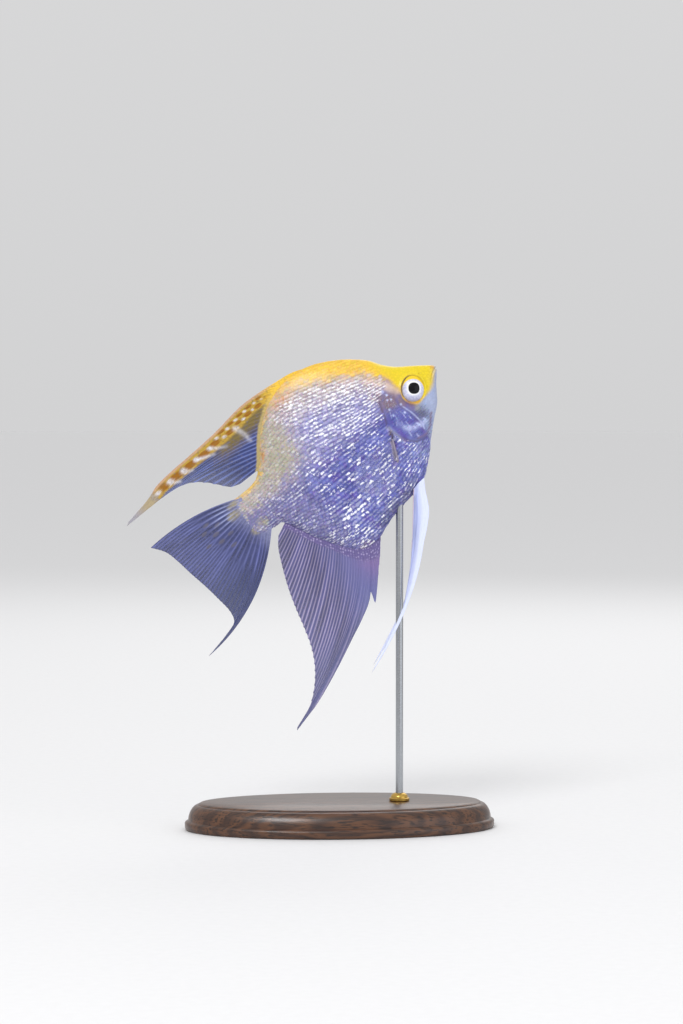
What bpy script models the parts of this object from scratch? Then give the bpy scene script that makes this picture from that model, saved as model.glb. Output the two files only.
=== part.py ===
"""Freshwater angelfish, life size, held nose up on a plain display stand.

The body is modelled level, from the snout back, and hangs under one empty that tilts it.
Fish heads along +X, its left side is +Y, up is +Z. The origin is the centre of the base's
underside. Sizes are in millimetres and are turned to metres where a mesh is made.
"""
import math

import bmesh
import bpy
from mathutils import Vector

MM = 0.001

# Pose and place of the fish
NOSE_UP_DEG = 40.0
SNOUT_X = 31.7
SNOUT_Z = 153.7
GAP = 0.3                 # clearance kept between touching pieces

# Body, as (distance behind the snout, value)
BACK_HEIGHT = ((-0.7, 0.7), (-0.3, 1.3), (0, 1.7), (2, 3.4), (5, 5.7), (10, 9.5), (13, 13.0),
               (15, 16.3), (18, 19.5), (22, 22.8), (26, 25.4), (30, 27.4), (35, 28.9), (40, 29.5),
               (45, 28.8), (50, 27.2), (54, 25.0), (58, 21.9), (61, 18.8), (64, 15.3), (67, 12.2),
               (70, 10.4), (74, 9.9), (79, 10.0), (84, 10.6))
BELLY_HEIGHT = ((-0.7, 0.1), (-0.3, -0.5), (0, -1.1), (2.5, -3.9), (5, -7.3), (6.2, -8.9),
                (8, -10.6), (10, -12.0), (15, -15.9), (20, -20.7), (25, -24.8), (28, -26.8),
                (33, -27.9), (40, -28.7), (46, -30.2), (50, -31.6), (54, -31.9), (57.5, -30.6),
                (61, -27.0), (64, -22.0), (66.5, -17.5), (68.5, -12.7), (70.3, -8.6), (72, -6.3),
                (75, -6.0), (79, -6.6), (84, -8.0))
HALF_BREADTH = ((-0.7, 0.8), (0, 1.6), (3, 2.7), (6, 3.8), (10, 4.8), (15, 5.6), (20, 6.2),
                (27, 6.6), (35, 6.6), (45, 6.2), (55, 5.2), (65, 3.8), (72, 2.8), (78, 2.0),
                (84, 1.2))
KEEL_SHARPNESS = ((-0.7, 0.8), (6, 0.95), (14, 1.1), (26, 1.3), (60, 1.3), (72, 1.0), (84, 0.9))
BODY_STRETCHES = ((-0.7, 0.5, 2), (0.5, 6, 3), (6, 26, 7), (26, 56, 9), (56, 76, 15), (76, 84, 2))
RING_POINTS = 20          # each stretch above is (first, last, how many sections)

# Lines where the body is parted, top to bottom, as (distance, height)
NECK_LINE = ((25.5, 45.0), (24.8, 26.0), (21.0, 6.0), (19.4, -6.0), (17.0, -19.0), (17.0, -45.0))
STALK_LINE = ((68.0, 45.0), (68.4, 14.0), (72.3, -8.0), (72.3, -45.0))
TAIL_LINE = ((79.8, 45.0), (79.9, 10.0), (81.0, 6.0), (81.2, 1.5), (80.0, -3.0), (76.9, -6.4),
             (76.5, -45.0))
JAW_OUTLINE = ((-2.5, 0.5), (0.4, 0.1), (2.2, -0.9), (3.8, -2.2), (4.5, -3.8), (6.2, -9.5),
               (-2.5, -9.5))
GILL_OUTLINE = ((15.7, 2.6), (18.6, 4.4), (21.6, 2.6), (23.9, -1.4), (24.4, -5.4), (22.8, -10.2),
                (20.2, -13.8), (16.8, -15.6), (13.3, -13.4), (13.6, -9.6), (15.0, -4.4))
GILL_STEPS = 30
GILL_INNER = 2.4          # the gill covers reach in to this distance from the middle plane
GILL_PROUD = 0.3          # and stand this far out of the flank

# Eyes
EYE_BACK = 9.9
EYE_HEIGHT = -0.5
EYE_RADIUS = 4.2
EYE_DEPTH = 2.35          # half of the eye's thickness
EYE_OUT = 3.3             # from the middle plane to the eye's centre
EYE_TURN_DEG = 9.0        # each eye looks this far forward

# Fins: base stretch along the body, then edges as (distance, height)
RAY_HALF = 0.46           # half thickness over a ray
WEB_HALF = 0.29           # and over the web between two rays
DORSAL_BASE = (28.6, 67.3)
DORSAL_FRONT_SHARE = 0.65
DORSAL_FRONT_EDGE = ((29.8, 28.6), (38, 30.4), (46, 31.7), (55, 32.3), (62, 31.9), (70, 31.0),
                     (80, 30.6), (90, 30.4), (96, 29.9), (103, 28.0), (113, 26.4))
DORSAL_REAR_EDGE = ((113, 25.9), (104, 25.8), (97, 25.6), (91, 24.9), (86.5, 23.1), (83, 20.2),
                    (80, 16.6), (77.6, 13.8), (74.5, 12.5))
ANAL_BASE = (49.8, 71.3)
ANAL_FRONT_SHARE = 0.25
ANAL_FRONT_EDGE = ((50.3, -32.7), (56.5, -37.3), (60.5, -41.0), (64.6, -45.2), (70, -47.4),
                   (80, -51.8), (90, -56.0), (100, -59.7), (107, -61.5), (114, -63.0))
ANAL_REAR_EDGE = ((114, -62.5), (106, -60.0), (100, -55.9), (95.2, -50.7), (91.8, -45.0),
                  (89.4, -38.6), (87.2, -31.5), (84.8, -24.8), (81.6, -17.8), (78.6, -12.2),
                  (75.8, -8.9))
TAIL_EDGE = ((110, 15.6), (107.6, 11.0), (106.9, 6.0), (106.2, 0.0), (105.3, -6.0),
             (104.7, -12.0), (104.4, -18.0), (106.0, -21.8), (111.5, -23.4), (118.7, -24.6))
PELVIC_BASE = ((27.4, -26.7), (32.6, -27.5))
PELVIC_EDGE = ((81.1, -64.1), (77, -62.2), (73.8, -60.7), (66, -57.4), (61, -54.9), (57.5, -52.2),
               (50.6, -46.5), (44.6, -40.8))
PELVIC_SPREAD = (1.85, 4.6)   # distance from the middle plane at the root and at the tip
PELVIC_LEFT_REACH = 0.88      # the left one is this much shorter
PECTORAL_BASE = ((26.6, -8.3), (29.8, -15.4))
PECTORAL_EDGE = ((44.2, -7.6), (46.2, -11.6), (45.4, -16.0), (41.8, -19.6), (36.6, -20.8))
PECTORAL_OUT = 7.6            # how far its tips stand off the flank
FIN_CLEARANCE = 0.45      # from the body's edge to a fin's root
FIN_SWAY = 1.5                # how far the long fin tips curl out of the middle plane

# Stand
BASE_HALF_LENGTH = 52.0
BASE_HALF_WIDTH = 27.0
BASE_PROFILE = ((0.7, 0.0), (0.0, 0.7), (0.0, 2.8), (1.0, 3.4), (1.6, 5.4), (2.4, 7.4),
                (3.5, 8.5), (5.0, 9.0))   # inset from the rim, height
BASE_STEPS = 40
BASE_TOP = 9.0
ROD_X = 20.0
ROD_RADIUS = 1.25
ROD_TOP = 111.6
ROD_SOCKET = 5.0
COLLAR_RADIUS = 3.4
COLLAR_HEIGHT = 2.4

# Finishes: base colour, roughness, metallic
PAINTS = {
    "pearl_skin": ((0.62, 0.60, 0.78), 0.35, 0.0),
    "yellow_skin": ((0.93, 0.78, 0.20), 0.40, 0.0),
    "gill_pearl": ((0.52, 0.53, 0.80), 0.30, 0.0),
    "eye_silver": ((0.86, 0.87, 0.90), 0.15, 0.0),
    "clear_fin": ((0.52, 0.54, 0.76), 0.45, 0.0),
    "barred_fin": ((0.78, 0.52, 0.18), 0.45, 0.0),
    "white_fin": ((0.86, 0.89, 0.96), 0.40, 0.0),
    "walnut": ((0.16, 0.08, 0.045), 0.40, 0.0),
    "steel": ((0.62, 0.63, 0.65), 0.25, 1.0),
    "brass": ((0.78, 0.60, 0.30), 0.28, 1.0),
}


# ---------------------------------------------------------------- curves

def smooth_curve(points):
    """A function through (place, value) points that never overshoots them."""
    places = [p[0] for p in points]
    values = [p[1] for p in points]
    last = len(points) - 1
    rises = [(values[i + 1] - values[i]) / (places[i + 1] - places[i]) for i in range(last)]
    slopes = [rises[0]]
    for i in range(1, last):
        before, after = rises[i - 1], rises[i]
        flat = before * after <= 0
        slopes.append(0.0 if flat else 2 * before * after / (before + after))
    slopes.append(rises[-1])

    def value_at(place):
        place = min(max(place, places[0]), places[-1])
        i = 0
        while i < last - 1 and place > places[i + 1]:
            i += 1
        span = places[i + 1] - places[i]
        t = (place - places[i]) / span
        ease = t * t * (3 - 2 * t)
        start = span * slopes[i] * t * (1 - t) ** 2
        end = span * slopes[i + 1] * t * t * (t - 1)
        return values[i] * (1 - ease) + values[i + 1] * ease + start + end

    return value_at


def rounded(points, steps, closed=False):
    """Points of a smooth line through the given ones, evenly spaced along it."""
    count = len(points)
    spans = count if closed else count - 1
    fine = []
    for i in range(spans):
        a = Vector(points[(i - 1) % count] if closed else points[max(i - 1, 0)])
        b = Vector(points[i])
        c = Vector(points[(i + 1) % count])
        d = Vector(points[(i + 2) % count] if closed else points[min(i + 2, count - 1)])
        for k in range(8):
            t = k / 8
            fine.append(0.5 * (2 * b + (c - a) * t + (2 * a - 5 * b + 4 * c - d) * t * t
                               + (3 * b - a - 3 * c + d) * t ** 3))
    fine.append(Vector(points[0] if closed else points[-1]))
    total = sum((fine[i + 1] - fine[i]).length for i in range(len(fine) - 1))
    places = steps if closed else steps + 1
    return [point_along(fine, total * i / steps) for i in range(places)]


def point_along(line, distance):
    """The point at a distance along a line of points."""
    for i in range(len(line) - 1):
        piece = (line[i + 1] - line[i]).length
        if distance <= piece and piece > 0:
            return line[i].lerp(line[i + 1], distance / piece)
        distance -= piece
    return line[-1].copy()


def share_of(line):
    """A function that gives the point at a share, 0 to 1, of a line's length."""
    total = sum((line[i + 1] - line[i]).length for i in range(len(line) - 1))
    return lambda share: point_along(line, total * min(max(share, 0.0), 1.0))


def widened(outline, distance):
    """A closed outline moved outwards by a distance."""
    count = len(outline)
    area = sum(outline[i][0] * outline[(i + 1) % count][1] - outline[(i + 1) % count][0] * outline[i][1]
               for i in range(count))
    turn = 1 if area > 0 else -1
    moved = []
    for i in range(count):
        before = (Vector(outline[i]) - Vector(outline[i - 1])).normalized()
        after = (Vector(outline[(i + 1) % count]) - Vector(outline[i])).normalized()
        side = Vector((before.y + after.y, -before.x - after.x))
        reach = distance * turn * 2 / side.length_squared
        moved.append(Vector(outline[i]) + side * reach)
    return moved


back = smooth_curve(BACK_HEIGHT)
belly = smooth_curve(BELLY_HEIGHT)
breadth = smooth_curve(HALF_BREADTH)
keel = smooth_curve(KEEL_SHARPNESS)


def flank(distance, height):
    """Half breadth of the body at a distance behind the snout and a height."""
    middle = (back(distance) + belly(distance)) / 2
    half = (back(distance) - belly(distance)) / 2
    rise = min(abs(height - middle) / half, 1.0)
    return breadth(distance) * math.sqrt(1 - rise * rise) ** keel(distance)


# ---------------------------------------------------------------- scene helpers

def clear_scene():
    for item in list(bpy.data.objects):
        bpy.data.objects.remove(item, do_unlink=True)


def finish(name):
    """The material of one finish, made once."""
    material = bpy.data.materials.get(name)
    if material is None:
        colour, roughness, metallic = PAINTS[name]
        material = bpy.data.materials.new(name)
        material.use_nodes = True
        shader = material.node_tree.nodes["Principled BSDF"]
        shader.inputs["Base Color"].default_value = (*colour, 1.0)
        shader.inputs["Roughness"].default_value = roughness
        shader.inputs["Metallic"].default_value = metallic
    return material


def add_object(name, mesh, paint, parent=None):
    item = bpy.data.objects.new(name, mesh)
    bpy.context.scene.collection.objects.link(item)
    item.parent = parent
    if paint:
        mesh.materials.append(finish(paint).copy())
        mesh.materials[0].name = name + "_finish"
    return item


def mesh_of(name, points, faces):
    """A closed mesh from points in millimetres, its faces turned outwards."""
    mesh = bpy.data.meshes.new(name)
    mesh.from_pydata([Vector(p) * MM for p in points], [], faces)
    shell = bmesh.new()
    shell.from_mesh(mesh)
    bmesh.ops.recalc_face_normals(shell, faces=shell.faces)
    shell.to_mesh(mesh)
    shell.free()
    return mesh


def smooth(mesh, angle_deg=35.0):
    mesh.shade_smooth()
    mesh.set_sharp_from_angle(angle=math.radians(angle_deg))


def stacked_rings(rings):
    """Faces of a tube through rings of equal count, closed at both ends."""
    size = len(rings[0])
    points = [p for one in rings for p in one]
    faces = []
    for r in range(len(rings) - 1):
        for i in range(size):
            j = (i + 1) % size
            faces.append((r * size + i, r * size + j, (r + 1) * size + j, (r + 1) * size + i))
    faces.append(tuple(range(size)))
    faces.append(tuple((len(rings) - 1) * size + i for i in range(size)))
    return points, faces


def cut(item, tool, operation):
    """Cuts or keeps an object's shape with a hidden tool object."""
    boolean = item.modifiers.new(tool.name, "BOOLEAN")
    boolean.operation = operation
    boolean.solver = "EXACT"
    boolean.object = tool


def tool_object(name, mesh, parent=None):
    tool = add_object(name, mesh, None, parent)
    tool.hide_render = True
    tool.display_type = "WIRE"
    return tool


def prism(name, outline, low, high, parent):
    """A tool with a side outline in (distance, height), from y = low to y = high."""
    rings = [[(-p[0], y, p[1]) for p in outline] for y in (low, high)]
    return tool_object(name, mesh_of(name, *stacked_rings(rings)), parent)


# ---------------------------------------------------------------- body

def body_ring(distance, grow):
    """One upright section of the body, grown by a distance all round."""
    top = back(distance) + grow
    bottom = belly(distance) - grow
    points = []
    for i in range(RING_POINTS):
        turn = 2 * math.pi * i / RING_POINTS
        rise = math.sin(turn)
        reach = abs(math.cos(turn))
        out = breadth(distance) * reach ** keel(distance) + grow * reach
        height = (top + bottom) / 2 + (top - bottom) / 2 * rise
        points.append((-distance, math.copysign(out, math.cos(turn)), height))
    return points


def body_mesh(name, grow=0.0):
    """The whole body as one closed loft."""
    rings = [body_ring(BODY_STRETCHES[0][0], grow)]
    for first, last, count in BODY_STRETCHES:
        rings += [body_ring(first + (last - first) * i / count, grow) for i in range(1, count + 1)]
    mesh = mesh_of(name, *stacked_rings(rings))
    smooth(mesh)
    return mesh


def stretch_between(front_line, rear_line):
    """Outline of the body's stretch between two parting lines, less half the gap each."""
    front = [(d + GAP / 2, z) for d, z in front_line]
    rear = [(d - GAP / 2, z) for d, z in rear_line]
    return front + rear[::-1]


def eye_mesh(name, grow=0.0):
    mesh = bpy.data.meshes.new(name)
    ball = bmesh.new()
    bmesh.ops.create_uvsphere(ball, u_segments=16, v_segments=10, radius=1.0)
    across = (EYE_RADIUS + grow) * MM
    deep = (EYE_DEPTH + grow) * MM
    for vertex in ball.verts:
        x, y, z = vertex.co
        vertex.co = (x * across, z * deep, -y * across)
    ball.to_mesh(mesh)
    ball.free()
    smooth(mesh)
    return mesh


def place_eye(item, side):
    item.location = (-EYE_BACK * MM, side * EYE_OUT * MM, EYE_HEIGHT * MM)
    item.rotation_euler = (0, 0, -side * math.radians(EYE_TURN_DEG))


def make_body(fish):
    """Head, jaw, gill covers, trunk and tail stalk, parted with thin cuts."""
    wide = 20.0
    front_end = ((-4.0, 45.0), (-4.0, -45.0))
    gill = rounded(GILL_OUTLINE, GILL_STEPS, closed=True)
    jaw_room = prism("jaw_room", widened(JAW_OUTLINE, GAP), -wide, wide, fish)

    head = add_object("head", body_mesh("head"), "yellow_skin", fish)
    cut(head, prism("head_region", stretch_between(front_end, NECK_LINE), -wide, wide, fish), "INTERSECT")
    cut(head, jaw_room, "DIFFERENCE")
    jaw = add_object("lower_jaw", body_mesh("lower_jaw"), "pearl_skin", fish)
    cut(jaw, prism("jaw_region", JAW_OUTLINE, -wide, wide, fish), "INTERSECT")
    trunk = add_object("trunk", body_mesh("trunk"), "pearl_skin", fish)
    cut(trunk, prism("trunk_region", stretch_between(NECK_LINE, STALK_LINE), -wide, wide, fish),
        "INTERSECT")
    stalk = add_object("tail_stalk", body_mesh("tail_stalk"), "pearl_skin", fish)
    cut(stalk, prism("stalk_region", stretch_between(STALK_LINE, TAIL_LINE), -wide, wide, fish),
        "INTERSECT")

    for side, word in ((1, "left"), (-1, "right")):
        cover = add_object("gill_cover_" + word, body_mesh("gill_cover", GILL_PROUD), "gill_pearl", fish)
        low, high = sorted((side * GILL_INNER, side * wide))
        cut(cover, prism("gill_region_" + word, gill, low, high, fish), "INTERSECT")
        low, high = sorted((side * (GILL_INNER - GAP), side * wide))
        slot = prism("gill_slot_" + word, widened(gill, GAP), low, high, fish)
        cut(head, slot, "DIFFERENCE")
        cut(trunk, slot, "DIFFERENCE")
        socket = tool_object("socket_" + word, eye_mesh("socket", GAP), fish)
        place_eye(socket, side)
        cut(head, socket, "DIFFERENCE")
        eye = add_object("eye_" + word, eye_mesh("eye_" + word), "eye_silver", fish)
        place_eye(eye, side)
    return trunk


# ---------------------------------------------------------------- fins

def bent_ray(root, tip, lean, bow):
    """A function for a curved ray: lean moves its bend along it, bow pushes it aside."""
    chord = tip - root
    aside = Vector((-chord.y, chord.x))
    bend = root + chord * lean + aside * bow
    return lambda t: root * (1 - t) ** 2 + bend * (2 * t * (1 - t)) + tip * t * t


def ray_places(rays, longest):
    """Places of rays and webs across a fin, with one ray exactly on the longest."""
    columns = 2 * rays - 2
    before = 2 * math.ceil((rays - 1) * longest)
    places = [longest * i / before for i in range(before)]
    return places + [longest + (1 - longest) * i / (columns - before) for i in range(columns - before + 1)]


def fin_plate(name, paint, fish, rays, rows, sheet, thickness, longest=0.5):
    """A closed fin from a sheet function of (across, along), thicker over each ray.

    Across runs from the front ray to the rear one, along from root to edge.
    """
    columns = 2 * rays - 2
    places = ray_places(rays, longest)
    middle = []
    for across in places:
        middle.append([sheet(across, j / rows) for j in range(rows + 1)])
    points = []
    for side in (1, -1):
        for i in range(columns + 1):
            for j in range(rows + 1):
                across = middle[min(i + 1, columns)][j] - middle[max(i - 1, 0)][j]
                along = middle[i][min(j + 1, rows)] - middle[i][max(j - 1, 0)]
                half = thickness(j / rows, i % 2 == 0)
                points.append(middle[i][j] + across.cross(along).normalized() * side * half)
    faces = sheet_faces(columns, rows)
    mesh = mesh_of(name, points, faces)
    smooth(mesh, 50.0)
    return add_object(name, mesh, paint, fish)


def sheet_faces(columns, rows):
    """Faces of two parallel grids and of the rim that joins them."""
    layer = (columns + 1) * (rows + 1)
    number = lambda i, j: i * (rows + 1) + j
    faces = []
    for i in range(columns):
        for j in range(rows):
            ring = (number(i, j), number(i + 1, j), number(i + 1, j + 1), number(i, j + 1))
            faces.append(ring)
            faces.append(tuple(layer + n for n in reversed(ring)))
    rim = [number(i, 0) for i in range(columns)]
    rim += [number(columns, j) for j in range(rows)]
    rim += [number(i, rows) for i in range(columns, 0, -1)]
    rim += [number(0, j) for j in range(rows, 0, -1)]
    for k in range(len(rim)):
        a, b = rim[k], rim[(k + 1) % len(rim)]
        faces.append((b, a, layer + a, layer + b))
    return faces


def ray_thickness(root_half, quick=2.0):
    """Thickness rule of a fin: stout at the root, fine ridged web towards the edge."""
    def half_at(along, on_ray):
        fine = RAY_HALF - (RAY_HALF - 0.32) * along if on_ray else WEB_HALF
        stout = (1 - along) ** quick if along < 1 else 0.0
        return fine + (root_half - RAY_HALF) * stout
    return half_at


def body_edge(profile, first, last, out):
    """Line along the back or the belly, kept clear of it by the gap."""
    steps = 40
    places = [first + (last - first) * i / steps for i in range(steps + 1)]
    line = []
    for d in places:
        slope = (profile(d + 0.2) - profile(d - 0.2)) / 0.4
        normal = Vector((-slope, 1.0)).normalized() * out
        line.append(Vector((d, profile(d))) + normal * FIN_CLEARANCE)
    return line


def in_body_frame(flat, aside):
    """A (distance, height) point as (x, y, z) in the level frame of the fish."""
    return Vector((-flat.x, aside, flat.y))


def sway(distance, start, length, side):
    """Sideways curl that grows towards a fin's far end."""
    share = min(max((distance - start) / length, 0.0), 1.0)
    return side * FIN_SWAY * share * share * (1.6 - 0.6 * share)


def unpaired_sheet(base_line, front_share, front_edge, rear_edge, front_crowd, rear_crowd, bends, curl):
    """Sheet of a back or anal fin: spines end on its front edge, soft rays on its rear edge."""
    root_at = share_of(base_line)
    front_at = share_of(rounded(front_edge, 60))
    rear_at = share_of(rounded(rear_edge, 60))
    lean_at = smooth_curve([(u, lean) for u, lean, bow in bends])
    bow_at = smooth_curve([(u, bow) for u, lean, bow in bends])

    def sheet(across, along):
        if across <= front_share:
            share = across / front_share
            plain, power = front_crowd
            tip = front_at(plain * share + (1 - plain) * share ** power)
        else:
            share = (across - front_share) / (1 - front_share)
            tip = rear_at(share ** rear_crowd)
        ray = bent_ray(root_at(across), tip, lean_at(across), bow_at(across))
        flat = ray(along)
        return in_body_frame(flat, curl(flat.x))

    return sheet


def make_back_fin(fish):
    bends = ((0.0, 0.5, 0.0), (0.5, 0.5, 0.05), (0.65, 0.45, 0.085), (0.8, 0.45, 0.05), (1.0, 0.5, 0.0))
    sheet = unpaired_sheet(body_edge(back, *DORSAL_BASE, 1), DORSAL_FRONT_SHARE, DORSAL_FRONT_EDGE,
                           DORSAL_REAR_EDGE, (0.45, 5.0), 0.7, bends,
                           lambda d: sway(d, 66, 46, 1))
    fin_plate("dorsal_fin", "barred_fin", fish, 16, 5, sheet, ray_thickness(0.6),
              DORSAL_FRONT_SHARE)


def make_anal_fin(fish):
    bends = ((0.0, 0.5, 0.0), (0.15, 0.45, -0.05), (0.18, 0.35, -0.13), (0.25, 0.31, -0.163),
             (0.42, 0.38, -0.10), (0.65, 0.45, -0.04), (1.0, 0.5, 0.0))
    sheet = unpaired_sheet(body_edge(belly, *ANAL_BASE, -1), ANAL_FRONT_SHARE, ANAL_FRONT_EDGE,
                           ANAL_REAR_EDGE, (0.33, 4.0), 0.8, bends,
                           lambda d: sway(d, 68, 46, -1))
    fin_plate("anal_fin", "clear_fin", fish, 19, 6, sheet, ray_thickness(0.6),
              ANAL_FRONT_SHARE)


def make_tail_fin(fish):
    line = [Vector((d + GAP / 2, z)) for d, z in TAIL_LINE[1:-1]]
    root_at = share_of(rounded(line, 40))
    tip_at = share_of(rounded(TAIL_EDGE, 80))
    lean_at = smooth_curve(((0.0, 0.5), (1.0, 0.52)))
    bow_at = smooth_curve(((0.0, 0.13), (0.35, 0.0), (0.7, -0.04), (1.0, -0.2)))
    crowd_at = smooth_curve(((0.0, 0.0), (0.85, 0.74), (1.0, 1.0)))

    def sheet(across, along):
        ray = bent_ray(root_at(across), tip_at(crowd_at(across)), lean_at(across), bow_at(across))
        flat = ray(along)
        return in_body_frame(flat, sway(flat.x, 80, 40, 1))

    fin_plate("tail_fin", "clear_fin", fish, 15, 6, sheet, ray_thickness(1.2, 3.0))


def make_pelvic_fin(fish, side, word, reach):
    root_at = share_of([Vector(p) for p in PELVIC_BASE])
    tip_at = share_of(rounded(PELVIC_EDGE, 60))
    lean_at = smooth_curve(((0.0, 0.41), (1.0, 0.5)))
    bow_at = smooth_curve(((0.0, -0.195), (0.5, -0.105), (1.0, 0.0)))
    near, far = PELVIC_SPREAD

    def sheet(across, along):
        root = root_at(across)
        tip = root + (tip_at(across ** 0.8) - root) * reach
        flat = bent_ray(root, tip, lean_at(across), bow_at(across))(along)
        aside = near + (far - near) * min((flat - root_at(0.5)).length / 60, 1.0)
        return in_body_frame(flat, side * aside)

    fin_plate("pelvic_fin_" + word, "white_fin", fish, 5, 10, sheet, ray_thickness(0.5))


def make_pectoral_fin(fish, side, word):
    root_at = share_of([Vector(p) for p in PECTORAL_BASE])
    tip_at = share_of(rounded(PECTORAL_EDGE, 40))
    clear = GAP + 0.75

    def sheet(across, along):
        root = root_at(across)
        flat = bent_ray(root, tip_at(across), 0.5, 0.06 - 0.12 * across)(along)
        off = flank(root.x, root.y) + clear + PECTORAL_OUT * along * (1.25 - 0.25 * along)
        return in_body_frame(flat, side * off)

    fin_plate("pectoral_fin_" + word, "clear_fin", fish, 9, 4, sheet, ray_thickness(0.5))


# ---------------------------------------------------------------- stand

def turned(name, steps, sections, centre_x=0.0):
    """A closed solid through round or oval sections of (half length, half width, height)."""
    rings = []
    for half_length, half_width, height in sections:
        ring = []
        for i in range(steps):
            turn = 2 * math.pi * i / steps
            ring.append((centre_x + half_length * math.cos(turn), half_width * math.sin(turn), height))
        rings.append(ring)
    return mesh_of(name, *stacked_rings(rings))


def post(name, radius, low, high, steps=20):
    """A plain upright round bar on the rod's line."""
    return turned(name, steps, ((radius, radius, low), (radius, radius, high)), ROD_X)


def make_stand(trunk):
    """Oval base, collar and upright rod, whose top sits in a blind hole in the belly."""
    oval = [(BASE_HALF_LENGTH - inset, BASE_HALF_WIDTH - inset, z) for inset, z in BASE_PROFILE]
    base_mesh = turned("stand_base", BASE_STEPS, oval)
    smooth(base_mesh, 25.0)
    base = add_object("stand_base", base_mesh, "walnut")
    foot = BASE_TOP - ROD_SOCKET
    base_hole = post("base_hole", ROD_RADIUS + GAP, foot - GAP, BASE_TOP + 5)
    cut(base, tool_object("base_hole", base_hole), "DIFFERENCE")

    rounding = 0.5
    rod_sections = ((ROD_RADIUS, ROD_RADIUS, foot), (ROD_RADIUS, ROD_RADIUS, ROD_TOP - rounding),
                    (ROD_RADIUS - rounding, ROD_RADIUS - rounding, ROD_TOP))
    rod_mesh = turned("stand_rod", 20, rod_sections, ROD_X)
    smooth(rod_mesh)
    add_object("stand_rod", rod_mesh, "steel")
    belly_hole = post("belly_hole", ROD_RADIUS + GAP, ROD_TOP - 25, ROD_TOP + GAP)
    cut(trunk, tool_object("belly_hole", belly_hole), "DIFFERENCE")

    low = BASE_TOP + GAP
    high = low + COLLAR_HEIGHT
    collar_sections = ((COLLAR_RADIUS, COLLAR_RADIUS, low), (COLLAR_RADIUS, COLLAR_RADIUS, high - 0.8),
                       (COLLAR_RADIUS - 0.8, COLLAR_RADIUS - 0.8, high))
    collar_mesh = turned("stand_collar", 28, collar_sections, ROD_X)
    smooth(collar_mesh)
    collar = add_object("stand_collar", collar_mesh, "brass")
    collar_hole = post("collar_hole", ROD_RADIUS + GAP, low - 2, high + 2)
    cut(collar, tool_object("collar_hole", collar_hole), "DIFFERENCE")


def main():
    clear_scene()
    fish = bpy.data.objects.new("fish", None)
    bpy.context.scene.collection.objects.link(fish)
    fish.location = (SNOUT_X * MM, 0, SNOUT_Z * MM)
    fish.rotation_euler = (0, -math.radians(NOSE_UP_DEG), 0)
    trunk = make_body(fish)
    make_back_fin(fish)
    make_anal_fin(fish)
    make_tail_fin(fish)
    for side, word, reach in ((1, "left", PELVIC_LEFT_REACH), (-1, "right", 1.0)):
        make_pelvic_fin(fish, side, word, reach)
        make_pectoral_fin(fish, side, word)
    make_stand(trunk)


main()
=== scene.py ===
"""Looks of a life-size freshwater angelfish model, held nose up on a plain display stand.

The fish is shaped level, in millimetres: d is the distance behind its snout, y is to its left
and z is up. One turn about the snout then tilts it nose up, as the solids of the frame are.
"""
import math

import bpy
import numpy as np
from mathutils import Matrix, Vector

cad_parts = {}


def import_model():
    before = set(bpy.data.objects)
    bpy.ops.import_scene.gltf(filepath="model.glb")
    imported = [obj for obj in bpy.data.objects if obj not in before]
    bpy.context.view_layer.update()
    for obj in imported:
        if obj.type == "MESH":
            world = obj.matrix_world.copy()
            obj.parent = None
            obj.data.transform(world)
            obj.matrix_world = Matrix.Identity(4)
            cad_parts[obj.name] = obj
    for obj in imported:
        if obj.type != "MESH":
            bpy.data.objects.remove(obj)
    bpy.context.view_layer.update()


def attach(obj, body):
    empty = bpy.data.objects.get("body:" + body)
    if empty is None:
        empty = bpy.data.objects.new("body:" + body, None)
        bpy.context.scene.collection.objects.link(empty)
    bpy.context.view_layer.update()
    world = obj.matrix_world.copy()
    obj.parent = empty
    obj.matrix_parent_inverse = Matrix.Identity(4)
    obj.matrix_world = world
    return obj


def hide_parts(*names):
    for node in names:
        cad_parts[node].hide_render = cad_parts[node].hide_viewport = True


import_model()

MM = 0.001

# Pose and place of the fish
NOSE_UP = math.radians(40.0)
UP_COS = math.cos(NOSE_UP)
UP_SIN = math.sin(NOSE_UP)
SNOUT_X = 31.7
SNOUT_Z = 153.7

# Body, as (distance behind the snout, value)
BACK_HEIGHT = ((-0.7, 0.7), (-0.3, 1.3), (0, 1.7), (2, 3.4), (5, 5.7), (10, 9.5), (13, 13.0),
               (15, 16.3), (18, 19.5), (22, 22.8), (26, 25.4), (30, 27.4), (35, 28.9), (40, 29.5),
               (45, 28.8), (50, 27.2), (54, 25.0), (58, 21.9), (61, 18.8), (64, 15.3), (67, 12.2),
               (70, 10.4), (74, 9.9), (79, 10.0), (84, 10.6))
BELLY_HEIGHT = ((-0.7, 0.1), (-0.3, -0.5), (0, -1.1), (2.5, -3.9), (5, -7.3), (6.2, -8.9),
                (8, -10.6), (10, -12.1), (15, -16.45), (20, -21.35), (25, -25.2), (28, -26.8),
                (33, -27.9), (40, -28.7), (46, -30.2), (50, -31.6), (54, -31.9), (57.5, -30.6),
                (61, -27.0), (64, -22.0), (66.5, -17.5), (68.5, -12.7), (70.3, -8.6), (72, -6.3),
                (75, -6.0), (79, -6.6), (84, -8.0))
HALF_BREADTH = ((-0.7, 0.8), (0, 1.6), (3, 2.7), (6, 3.8), (10, 4.8), (15, 5.6), (20, 6.2),
                (27, 6.6), (35, 6.6), (45, 6.2), (55, 5.2), (65, 3.8), (72, 2.8), (78, 1.9),
                (81, 0.9), (84, 0.2))
KEEL_SHARPNESS = ((-0.7, 0.8), (6, 0.95), (14, 1.1), (26, 1.3), (60, 1.3), (72, 1.0), (84, 0.9))
COAT_ROOM = ((-0.7, 0.05), (12, 0.05), (20, 0.3), (84, 0.3))   # from the solids in to the skin

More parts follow.
